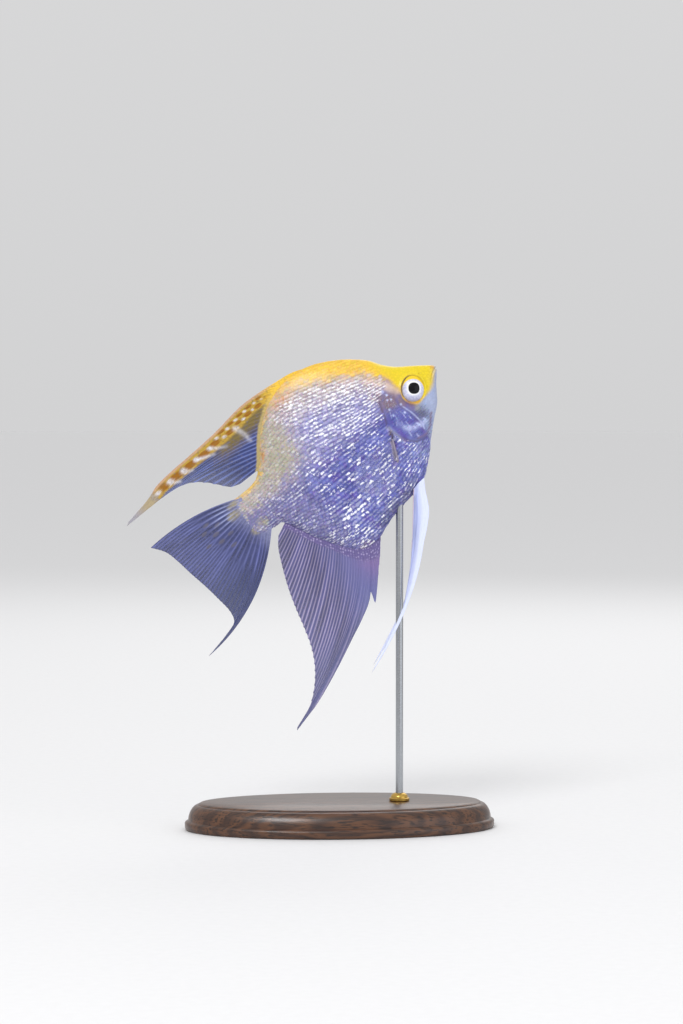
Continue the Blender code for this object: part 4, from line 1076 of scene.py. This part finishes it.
def scale_roots(flank):
    """Root of each scale as d and a, with its length, width, the slope of its row and its relief."""
    columns, column_pitch = spaced(SCALE_COLUMN, *SCALES_ALONG)
    rows, row_pitch = spaced(SCALE_ROW, *SCALES_ROUND)
    number, place = np.meshgrid(np.arange(len(rows)), np.arange(len(columns) - 1), indexing="ij")
    number, place = number.ravel(), place.ravel()
    d = np.where(number % 2 == 0, columns[place], (columns[place] + columns[place + 1]) / 2)
    row = rows[number]
    a = row.copy()
    for _ in range(40):
        a = 0.5 * a + 0.5 * (row / row_crowding(d) + row_slant(d, a))
    gap = 0.4
    squeeze = (1 - (row_slant(d, a + gap) - row_slant(d, a - gap)) / (2 * gap)) * row_crowding(d)
    climb = (row_slant(d + gap, a) - row_slant(d - gap, a)) / (2 * gap)
    width = SCALE_WIDTH * row_pitch(row) / squeeze
    length = SCALE_LENGTH * column_pitch(d)
    z = flank.place(d, a)[1]
    in_front = beside(d, z, COAT_FRONT)[0]
    behind = beside(d, z, COAT_REAR)[0]
    pad, pad_share = beside(d, z, PECTORAL_ROOT)
    low = np.interp(d, flank.stations, flank.low)
    high = np.interp(d, flank.stations, flank.high)
    kept = (in_front > -0.35) & (behind < -0.4) & (a > low + 0.15 * width) & (a < high - 0.3 * width)
    kept &= (np.abs(pad) > 0.6) | (pad_share <= 0) | (pad_share >= 1)
    eased = 0.55 + 0.45 * step(0.0, 5.0, in_front)
    body = (d[kept], a[kept], length[kept], width[kept], climb[kept], eased[kept])
    return [np.concatenate(pair) for pair in zip(body, face_roots(flank))]


def scale_pattern():
    """One scale: a shallow closed plate, round at its free edge, as plan, height share and faces."""
    alone()
    bpy.ops.mesh.primitive_uv_sphere_add(segments=12, ring_count=5, radius=1.0)
    plate = named("scale_pattern")
    x, y, z = points_of(plate).T
    rim = math.sin(math.radians(72))
    along, across = x / rim, y / rim
    faces = [tuple(face.vertices) for face in plate.data.polygons]
    upper = z > 0
    bpy.data.objects.remove(plate, do_unlink=True)
    return along, across, upper, faces


def make_coat(name, side, first, last, material, flank):
    """The scales of a stretch of one flank: each root is sunk, each free edge lies over the next."""
    chance = np.random.default_rng(SCALE_SEED + side + int(first))
    roots = scale_roots(flank)
    here = (roots[0] >= first) & (roots[0] < last)
    d, a, length, width, climb, eased = [values[here] for values in roots]
    along, across, upper, faces = scale_pattern()
    count, size = len(d), len(along)
    d, a = d + chance.normal(0.0, 0.07, count), a + chance.normal(0.0, 0.06, count)
    length = length * (0.6 + 0.4 * eased) * chance.uniform(0.9, 1.1, count)
    width = width * (0.6 + 0.4 * eased) * chance.uniform(0.92, 1.08, count)
    tilt = SCALE_TILT * chance.uniform(0.7, 1.3, count) * eased
    roll = chance.normal(0.0, 0.04, count)
    slope = np.arctan(climb) + chance.normal(0.0, 0.05, count)

    u = (along + 1) / 2
    reach = np.outer(length, u - 0.32)
    aside = np.outer(width / 2, across) * side
    turn_c, turn_s = np.cos(slope)[:, None], np.sin(slope)[:, None]
    at_d = d[:, None] + reach * turn_c - aside * turn_s
    at_a = a[:, None] + reach * turn_s + aside * turn_c
    dome = 0.14 * (1 - along ** 2 - across ** 2) + 0.06 * bump(across, 0.4)
    under = np.where(upper, 0.0, SCALE_THICK)
    height = (tilt[:, None] * (u[None, :] - 0.45) + eased[:, None] * np.where(upper, dome, 0.0)[None, :]
              - under[None, :] + np.outer(roll * width, across))
    flat_d, flat_a, flat_h = at_d.ravel(), at_a.ravel(), height.ravel()
    y, z = flank.place(flat_d, flat_a)
    out = flank.normal(flat_d, flat_a)
    root_z = flank.place(d, a)[1]
    from_gold = beside(d, root_z, GOLD_LINE)[0]
    smooth = strongest(step(-2.5, 2, from_gold), 0.6 * step(45, 56, d) * step(-4, 8, a),
                       0.8 * step(72, 80, d))
    flat_h = flat_h * np.repeat(1 - 0.85 * smooth, size)
    lift = flat_h + relief(flat_d, z) + 0.05
    points = world(flat_d + out[:, 0] * lift, side * (y + out[:, 1] * lift), z + out[:, 2] * lift)

    mesh = bpy.data.meshes.new(name)
    shift = np.arange(count) * size
    all_faces = [tuple(v + int(s) for v in face) for s in shift for face in faces]
    mesh.from_pydata(points.tolist(), [], all_faces)
    coat = new_item(name, mesh)
    put_map(coat, "ScaleMap", np.stack([np.tile(u, count), np.tile(across * 0.5 + 0.5, count)], axis=-1))
    root_u = (np.repeat(d, size) + 1) / BAKE_SPAN + np.tile(along, count) * BAKE_PATCH
    root_v = (np.repeat(a, size) + 46) / BAKE_SPAN + np.tile(across, count) * BAKE_PATCH
    put_map(coat, "OFBake", np.stack([root_u, root_v], axis=-1))
    wander = np.where(eased < 0.3, 0.0, 0.5)
    seen_d = flat_d + np.repeat(wander * chance.normal(0.0, 1.0, count), size)
    seen_z = z + np.repeat(wander * chance.normal(0.0, 1.0, count), size)
    put_attributes(coat, **markings(seen_d, seen_z))
    # strength of each scale's painted highlight
    glint_strength = painted_sparkle(d, root_z, chance) * step(0.2, 0.5, eased)
    tone = 0.5 + (chance.random(count) - 0.5) * step(0.1, 0.6, eased) * (1 - 0.5 * smooth)
    small = (0.45 + 2.0 * chance.random(count) ** 1.4) * (1 - 0.35 * step(-4, 6, root_z) * step(50, 40, d))
    small = small * (1 - 0.6 * flaky(d, root_z))
    # seam: strength of the painted shade in a scale's seams, faint where the scales lie flat
    each = {"painted_sparkle": glint_strength, "tone": tone, "seam_shade": 1 - 0.7 * smooth, "small": small,
            "shift": chance.normal(0.0, 0.8, count)}
    put_attributes(coat, **{mark: np.repeat(values, size) for mark, values in each.items()})
    mesh.shade_smooth()
    mesh.set_sharp_from_angle(angle=SCALE_CREASE)
    settle(coat, material, "pearl_skin")


def clusters(d, z):
    """Slow, irregular drift between -1 and 1 that gathers the scales with painted highlights in groups."""
    wave = np.sin(0.55 * d + 0.35 * z + 1.3 * np.sin(0.31 * z + 0.2 * d))
    wave += np.sin(-0.29 * d + 0.62 * z + 2.1 + 1.1 * np.sin(0.4 * d))
    wave += np.sin(0.9 * d - 0.8 * z + 4.0)
    return wave / 2.2


def flaky(d, z):
    """Where on the lower flank the painted silver highlights lie in a few broad flakes."""
    return bump(np.hypot((d - 49) / 1.4, z + 20), 8.0)


def painted_sparkle(d, z, chance):
    """How strongly each scale's painted highlight shows: most on the flank, less at the rear back and the
    belly.
    """
    flank_zone = step(15, 22, d + 5 * step(2, 5, z)) * (1 - 0.5 * step(52, 64, d))
    upper_rear = 1 - 0.65 * step(44, 56, d) * step(0, 10, z)
    gold_zone = 1 - 0.95 * step(-4, 1, beside(d, z, GOLD_LINE)[0])
    lower = 1 - 0.75 * step(3.6, 1.4, z - belly(d)) * step(21, 25, d) * step(52, 47, d)
    breast = step(29, 24, d) * step(-12, -15, z)
    upper = step(-4, 6, z) * step(50, 42, d)
    luck = chance.random(len(d)) + 0.4 * clusters(d, z) + 0.45 * upper + 0.12 * breast - 0.1
    glint_strength = np.where(luck > 0.62, 1.0, np.where(luck > 0.3, 0.45, 0.12))
    flakes = flaky(d, z)
    broad = np.where(luck > 0.6, 1.5, 0.3)
    zone = np.maximum(flank_zone, 0.9 * flakes) * upper_rear * gold_zone * lower
    return (glint_strength * (1 - flakes) + broad * flakes) * zone


# ---------------------------------------------------------------- eyes

def make_eye(word, side, material):
    """Eyeball with a shallow iris dish and a lens that bulges through the pupil."""
    alone()
    bpy.ops.mesh.primitive_uv_sphere_add(segments=64, ring_count=48, radius=1.0)
    eye = named("eyeball_" + word)
    x, y, z = points_of(eye).T
    wide, tall, out = x * EYE_WIDE, -y * side * EYE_TALL, z * side * EYE_DEPTH
    from_pupil = np.hypot(wide - PUPIL_FORWARD, tall - PUPIL_UP)
    shape = 0.16 * bump(from_pupil, 1.6) - 0.1 * bump(from_pupil - 2.9, 0.7)
    out = out + side * np.where(out * side > 0, shape, 0.0)
    forward, up = wide * UP_COS + tall * UP_SIN, -wide * UP_SIN + tall * UP_COS
    turn = -side * EYE_TURN
    level_x = forward * math.cos(turn) - out * math.sin(turn)
    level_y = forward * math.sin(turn) + out * math.cos(turn)
    put_points(eye, world(EYE_BACK - level_x, side * EYE_OUT + level_y, EYE_HEIGHT + up))
    put_map(eye, "EyeMap", np.stack([wide / EYE_MAP + 0.5, tall / EYE_MAP + 0.5], axis=-1))
    eye.data.shade_smooth()
    settle(eye, material, "eye", "eye_" + word)


# ---------------------------------------------------------------- fins

def bent_rays(root, tip, lean, bow, along, sunk=FIN_SUNK, inward=None):
    """Curved rays, each carried on into the body: lean moves its bend along it, bow aside.

    Inward, if given, is the way straight into the body; else a ray goes in as it points.
    """
    chord = tip - root
    aside = np.stack([-chord[:, 1], chord[:, 0]], axis=-1)
    bend = root + chord * lean[:, None] + aside * bow[:, None]
    reach = np.maximum(np.linalg.norm(chord, axis=1), 2.0)
    t = (along * (1 + sunk / reach) - sunk / reach)[:, None]
    inside = 0.0
    if inward is not None:
        inside = inward * np.maximum(-t, 0) * reach[:, None]
        t = np.maximum(t, 0)
    return root * (1 - t) ** 2 + bend * (2 * t * (1 - t)) + tip * t * t + inside


def ray_ridge(across, along, rays, split):
    """1 on a ray and 0 on the web; rays fork in two beyond the split, as soft rays do."""
    phase = (across * rays + 0.5) % 1.0 - 0.5
    single = bump(phase, 0.17)
    fork = 0.24
    double = bump(np.abs(phase) - fork, 0.12)
    forked = step(split, split + 0.15, along)
    return single * (1 - forked) + double * forked


def sway(d, start, length, side):
    """Sideways curl that grows towards a fin's far end."""
    share = np.clip((d - start) / length, 0, 1)
    return side * FIN_SWAY * share * share * (1.6 - 0.6 * share)


def pleats(across, along, rays, depth, ease):
    """Sideways waves, one to each ray, that die away at the root and, as far as eased, at the edge."""
    return depth * np.sin(2 * math.pi * across * rays) * along * (1 - ease * along)


def body_edge(profile, first, last, out):
    """Line along the back or the belly, just outside the body."""
    d = np.linspace(first, last, 60)
    slope = (profile(d + 0.2) - profile(d - 0.2)) / 0.4
    normal = np.stack([-slope, np.ones(d.shape)], axis=-1)
    normal *= out / np.linalg.norm(normal, axis=1, keepdims=True)
    clear = FIN_CLEARANCE * step(0.0, 5.0, d - first) - 0.3 * step(2.0, 0.0, d - first)
    return walk(np.stack([d, profile(d)], axis=-1) + normal * clear[:, None])


def make_fin(name, rays, rows, sheet, halves, split=0.55, notch=0.012, sunk=FIN_SUNK):
    """A closed fin: a grid laid on a sheet of (across, along) and thickened, most over its rays.

    Halves are half thicknesses at the root, over a ray and over the web. Split is where rays fork,
    and notch how far the web falls short of them at the free edge, as one share or a rule.
    """
    root_half, ray_half, web_half = halves
    alone()
    bpy.ops.mesh.primitive_grid_add(x_subdivisions=rays * COLUMNS_PER_RAY, y_subdivisions=rows, size=1.0)
    fin = named(name)
    plan = points_of(fin)
    across, along = plan[:, 0] + 0.5, plan[:, 1] + 0.5
    ridge = ray_ridge(across, along, rays, split)
    depth = notch(across) if callable(notch) else notch
    reach = along * (1 - depth * (1 - ray_ridge(across, np.ones(along.shape), rays, split)))
    d, y, z = sheet(across, reach)
    put_points(fin, world(d, y, z))
    root_d, _, root_z = sheet(across, np.zeros(along.shape))
    put_attributes(fin, ray=ridge, from_root=np.hypot(d - root_d, z - root_z) - sunk, outward=along,
                   across=across)
    put_map(fin, "FinMap", np.stack([across * rays, stored(fin, "from_root") / 0.9], axis=-1))
    thin = (web_half + (ray_half - web_half) * ridge) * (1 - 0.55 * along ** 3)
    half = thin + (root_half - web_half) * (1 - along) ** 6
    group = fin.vertex_groups.new(name="thickness")
    for i, share in enumerate(half / half.max()):
        group.add([i], float(share), "REPLACE")
    solid = fin.modifiers.new("thickness", "SOLIDIFY")
    solid.thickness = 2 * float(half.max()) * MM
    solid.offset = 0.0
    solid.vertex_group = "thickness"
    alone(fin)
    bpy.ops.object.modifier_apply(modifier="thickness")
    fin.data.shade_smooth()
    return fin


def unpaired_sheet(root_at, out, front_share, front_edge, rear_edge, front_crowd, rear_crowd, bends, rays,
                   sway_at):
    """Sheet of a back or anal fin: spines end on its front edge, soft rays on its rear edge."""
    front_at = walk(smooth_line(front_edge))
    rear_at = walk(smooth_line(rear_edge))
    lean_at = curve([(u, lean) for u, lean, bow in bends])
    bow_at = curve([(u, bow) for u, lean, bow in bends])
    plain, power = front_crowd

    def sheet(across, along):
        front = np.clip(across / front_share, 0, 1)
        rear = np.clip((across - front_share) / (1 - front_share), 0, 1)
        on_front = front_at(plain * front + (1 - plain) * front ** power)
        on_rear = rear_at(rear ** rear_crowd)
        tip = np.where((across <= front_share)[:, None], on_front, on_rear)
        way = root_at(across + 0.01) - root_at(across - 0.01)
        inward = np.stack([way[:, 1], -way[:, 0]], axis=-1) * out
        inward /= np.linalg.norm(inward, axis=1, keepdims=True)
        flat = bent_rays(root_at(across), tip, lean_at(across), bow_at(across), along, inward=inward)
        aside = sway(flat[:, 0], *sway_at, out) + pleats(across, along, rays, 0.12, 1.0)
        return flat[:, 0], aside, flat[:, 1]

    return sheet


def make_back_fin(material):
    """Back fin: spines behind a banded, spotted front edge, with a thread at its tip."""
    sheet = unpaired_sheet(body_edge(back, *DORSAL_BASE, 1), 1, DORSAL_FRONT_SHARE, DORSAL_FRONT_EDGE,
                           DORSAL_REAR_EDGE, (0.45, 5.0), 0.7, DORSAL_BENDS, DORSAL_RAYS, DORSAL_SWAY)
    fin = make_fin("back_fin", DORSAL_RAYS, 90, sheet, DORSAL_THICKNESS, UNFORKED)
    d, _, z = level(points_of(fin))
    below = np.abs(beside(d, z, DORSAL_FRONT_EDGE)[0])
    from_back = np.abs(beside(d, z, BACK_HEIGHT)[0])
    depth = np.interp(d, *zip(*DORSAL_BAND))
    fading = 1 - step(97.5, 101, d)
    lean = d - 0.3 * (z - 28)
    white = spots(lean, z, WHITE_SPOTS)
    for line in DORSAL_STREAKS:
        off, share = beside(d, z, line)
        wide = 0.75 if line[0][0] < 70 else 0.45
        white = np.maximum(white, 0.95 * bump(off, wide) * (1 - 0.4 * share))
    put_attributes(
        fin, band=(1 - step(depth - 0.5, depth + 0.5, below)) * fading,
        dusk=(1 - step(6.0, 11.0, below)) * step(48, 54, d) * (1 - step(66, 80, d)),
        block=spots(lean, z, BROWN_BLOCKS, 3.0) * step(46, 52, d),
        white=white * step(48, 54, d) * (0.7 + 0.3 * step(68, 80, d)),
        outer=(1 - step(0.45, 1.1, below)) * fading, tip=step(97.5, 100.5, d),
        thread=step(102, 109, d), gilt=1 - step(42, 56, d + 0.8 * (z - back(d))),
        near_root=1 - step(0.2, 1.1, from_back))
    settle(fin, material, "barred_fin", "dorsal_fin")


def make_anal_fin(material):
    """Anal fin: a scaly base, soft rays, and a frayed front edge that ends in a long thread."""
    def frayed(across):
        return 0.012 + 0.05 * (1 - step(0.08, 0.13, across))

    sheet = unpaired_sheet(body_edge(belly, *ANAL_BASE, -1), -1, ANAL_FRONT_SHARE, ANAL_FRONT_EDGE,
                           ANAL_REAR_EDGE, (0.33, 4.0), 0.8, ANAL_BENDS, ANAL_RAYS, ANAL_SWAY)
    fin = make_fin("anal_fin_web", ANAL_RAYS, 70, sheet, ANAL_THICKNESS, UNFORKED, frayed)
    d, _, z = level(points_of(fin))
    reach = 5.5 - 3.4 * step(54, 66, d)
    put_attributes(fin, dense=1 - step(-9, 10, (d - 66) + 0.35 * (z + 30)),
                   fringe=bump(np.hypot(d - 56, (z + 35) * 0.8), 6.0),
                   flecks=1 - step(0.45 * reach, reach, stored(fin, "from_root")),
                   deep=step(-44, -52, z) * 0.4)
    settle(fin, material, "clear_fin", "anal_fin")


def make_tail_fin(material):
    """Tail fin: a tinted root, faint spots between forked rays, and long upper and lower corners."""
    root_at = walk(smooth_line(TAIL_ROOT))
    tip_at = walk(smooth_line(TAIL_EDGE))
    bow_at = curve(TAIL_BOW)
    crowd_at = curve(TAIL_CROWD)

    def sheet(across, along):
        lean = 0.5 + 0.02 * across
        flat = bent_rays(root_at(across), tip_at(crowd_at(across)), lean, bow_at(across), along,
                         TAIL_SUNK)
        aside = sway(flat[:, 0], *TAIL_SWAY, 1) + pleats(across, along, TAIL_RAYS, 0.15, 0.6)
        return flat[:, 0], aside, flat[:, 1]

    fin = make_fin("tail_fin_web", TAIL_RAYS, 70, sheet, TAIL_THICKNESS, 0.45, 0.003)
    d, _, z = level(points_of(fin))
    put_attributes(fin, spot=spots(d, z, TAIL_SPOTS),
                   root_tint=1 - step(78.0, 87.0, d + 0.25 * np.abs(z - 4)),
                   deep=0.75 * step(-2, -14, z) * step(86, 94, d),
                   patch=0.6 * spots(d, z, TAIL_PATCHES, 2.0, (0.0, 2.4)),
                   glint=bump(np.hypot((d - 85.5) / 1.5, (z - 8.0) / 1.4), 2.6) * stored(fin, "ray"))
    settle(fin, material, "clear_fin", "tail_fin")


def make_pelvic_fin(side, word, material):
    """Pelvic fin: a stout first ray, drawn out into a long filament."""
    root_at = walk(np.array(PELVIC_BASE))
    tip_at = walk(smooth_line(PELVIC_EDGE))
    lean_at = curve(PELVIC_LEAN)
    bow_at = curve(PELVIC_BOW)
    near, far = PELVIC_SPREAD
    reach = PELVIC_LEFT_REACH if side > 0 else 1.0

    def sheet(across, along):
        root = root_at(across)
        tip = root + (tip_at(across ** 0.8) - root) * reach
        flat = bent_rays(root, tip, lean_at(across), bow_at(across), along)
        run = np.linalg.norm(flat - root_at(np.array([0.5])), axis=1)
        swell = (0.8 * bump(run - 7.5, 4.5) - 0.55 * step(13, 19, run)) * np.clip(1 - across, 0, 1) ** 2
        flat = flat - swell[:, None] * np.array((UP_COS, UP_SIN))
        aside = near + (far - near) * np.clip(run / PELVIC_LENGTH, 0, 1)
        if side > 0:
            flat = flat + aside[:, None] * np.array(PELVIC_LEFT_SHIFT)
        return flat[:, 0], side * aside, flat[:, 1]

    fin = make_fin("pelvic_fin_web_" + word, PELVIC_RAYS, 110, sheet, PELVIC_THICKNESS, UNFORKED, 0.0)
    across = stored(fin, "across")
    put_attributes(fin, leading=1 - step(0.3, 0.75, across), trailing=step(0.9, 1.0, across))
    settle(fin, material, "white_fin", "pelvic_fin_" + word)


def make_pectoral_fin(side, word, material):
    """Pectoral fin: a short clear fan that stands off the flank."""
    root_at = walk(np.array(PECTORAL_BASE, float))
    tip_at = walk(smooth_line(PECTORAL_EDGE))

    def sheet(across, along):
        root = root_at(across)
        flat = bent_rays(root, tip_at(across), np.full(across.shape, 0.5), 0.06 - 0.12 * across,
                         along, PECTORAL_SUNK)
        top, bottom = back(root[:, 0]), belly(root[:, 0])
        rise = np.clip(np.abs(root[:, 1] - (top + bottom) / 2) / ((top - bottom) / 2), 0, 1)
        flank = breadth(root[:, 0]) * np.sqrt(1 - rise ** 2) ** keel(root[:, 0])
        off = flank + 0.2 + (PECTORAL_OUT + 0.8) * along * (1.25 - 0.25 * along)
        return flat[:, 0], side * off, flat[:, 1]

    fin = make_fin("pectoral_fin_web_" + word, PECTORAL_RAYS, 30, sheet, PECTORAL_THICKNESS, 0.5,
                   sunk=PECTORAL_SUNK)
    settle(fin, material, "clear_fin", "pectoral_fin_" + word)


# ---------------------------------------------------------------- stand

def grown_up(name, steps, sections, centre_x):
    """A closed oval solid grown upwards from a filled ring through (half length, half width, height)."""
    alone()
    first = sections[0]
    bpy.ops.mesh.primitive_circle_add(vertices=steps, radius=first[0] * MM, fill_type="NGON",
                                      location=(centre_x * MM, 0, first[2] * MM))
    piece = named(name)
    bpy.ops.object.transform_apply(location=True, rotation=True, scale=True)
    bpy.ops.object.mode_set(mode="EDIT")
    bpy.ops.mesh.select_all(action="SELECT")
    bpy.ops.transform.resize(value=(1.0, first[1] / first[0], 1.0),
                             center_override=(centre_x * MM, 0, first[2] * MM))
    for before, after in zip(sections[:-1], sections[1:]):
        rise = (after[2] - before[2]) * MM
        bpy.ops.mesh.extrude_region_move(TRANSFORM_OT_translate={"value": (0, 0, rise)})
        bpy.ops.transform.resize(value=(after[0] / before[0], after[1] / before[1], 1.0),
                                 center_override=(centre_x * MM, 0, after[2] * MM))
    bpy.ops.mesh.select_all(action="SELECT")
    bpy.ops.mesh.normals_make_consistent(inside=False)
    bpy.ops.object.mode_set(mode="OBJECT")
    alone(piece)
    bpy.ops.object.shade_smooth_by_angle(angle=STAND_CREASE)
    return piece


def make_stand(wood, steel, brass):
    """Oval moulded base, upright rod and the collar where it enters the base."""
    oval = [(BASE_HALF_LENGTH - inset, BASE_HALF_WIDTH - inset, height) for inset, height in BASE_PROFILE]
    base = grown_up("stand_base_turned", BASE_STEPS, oval, 0.0)
    settle(base, wood, "stand_wood", "stand_base")

    rod = [(ROD_RADIUS - inset, ROD_RADIUS - inset, height) for inset, height in ROD_PROFILE]
    post = grown_up("stand_rod_polished", ROD_STEPS, rod, ROD_X)
    settle(post, steel, "stand_steel", "stand_rod")

    ring = [(COLLAR_RADIUS - inset, COLLAR_RADIUS - inset, COLLAR_LOW + height)
            for inset, height in COLLAR_PROFILE]
    collar = grown_up("stand_collar_turned", COLLAR_STEPS, ring, ROD_X)
    settle(collar, brass, "stand_brass", "stand_collar")


# ---------------------------------------------------------------- studio

def aim(item, target):
    """Points a light or camera at a place."""
    way = Vector(target) - item.location
    item.rotation_mode = "QUATERNION"
    item.rotation_quaternion = way.to_track_quat("-Z", "Y")


def soft_light(name, place, size, power, colour):
    """A square soft box that looks at the model."""
    light = bpy.data.lights.new(name, "AREA")
    light.size = size
    light.energy = power
    light.color = linear(colour)[:3]
    lamp = new_item(name, light)
    lamp.location = place
    aim(lamp, LAMPS_AIM)


def make_studio():
    """Pale floor, pale surroundings, soft lights and the camera."""
    alone()
    bpy.ops.mesh.primitive_plane_add(size=40.0, location=(0, 0, 0))
    floor = named("studio_floor")
    floor.data.materials.append(floor_material())
    sky = bpy.data.worlds.new("studio")
    sky.use_nodes = True
    tree = sky.node_tree
    way = add(tree, "SeparateXYZ", {0: add(tree, "TexCoord").outputs["Generated"]})
    high = add(tree, "MapRange", {"Value": way.outputs[2], "From Max": 0.9})
    dome = add(tree, "Mix", {0: high, 6: linear("#E2E2E3"), 7: linear("#FFFFFF")}, data_type="RGBA")
    feed(tree, tree.nodes["Background"], {"Color": dome, "Strength": 0.85})
    bpy.context.scene.world = sky
    for lamp in LAMPS:
        soft_light(*lamp)
    camera = new_item("camera", bpy.data.cameras.new("camera"))
    camera.data.lens = LENS
    camera.data.sensor_width = 36.0
    target = Vector(LOOK_AT) * MM
    out = Vector((math.sin(LOOK_TURN) * math.cos(LOOK_DOWN), -math.cos(LOOK_TURN) * math.cos(LOOK_DOWN),
                  math.sin(LOOK_DOWN)))
    camera.location = target + out * LOOK_FROM * MM
    aim(camera, target)
    bpy.context.scene.camera = camera
    bpy.context.scene.view_settings.view_transform = "Standard"


def main():
    """Makes every piece of the model, then the studio round it."""
    flank = Unrolled()
    make_skin(skin_material())
    scales = scale_material()
    eyes = eye_material()
    webs = {name: fin_material(name, *look) for name, look in FIN_LOOKS.items()}
    make_back_fin(webs["back_fin_barred"])
    make_anal_fin(webs["anal_fin_clear"])
    make_tail_fin(webs["tail_fin_clear"])
    for side, word in ((1, "left"), (-1, "right")):
        make_coat("scale_coat_front_" + word, side, 0.0, COAT_PARTING, scales, flank)
        make_coat("scale_coat_rear_" + word, side, COAT_PARTING, 90.0, scales, flank)
        make_eye(word, side, eyes)
        make_pelvic_fin(side, word, webs["pelvic_fin_white"])
        make_pectoral_fin(side, word, webs["pectoral_fin_glassy"])
    make_stand(walnut_material(), metal_material("steel_polished", "#9A9DA1", "#B9BCC0", 0.22),
               metal_material("brass_polished", "#B8923F", "#D0AE62", 0.25))
    make_studio()


main()
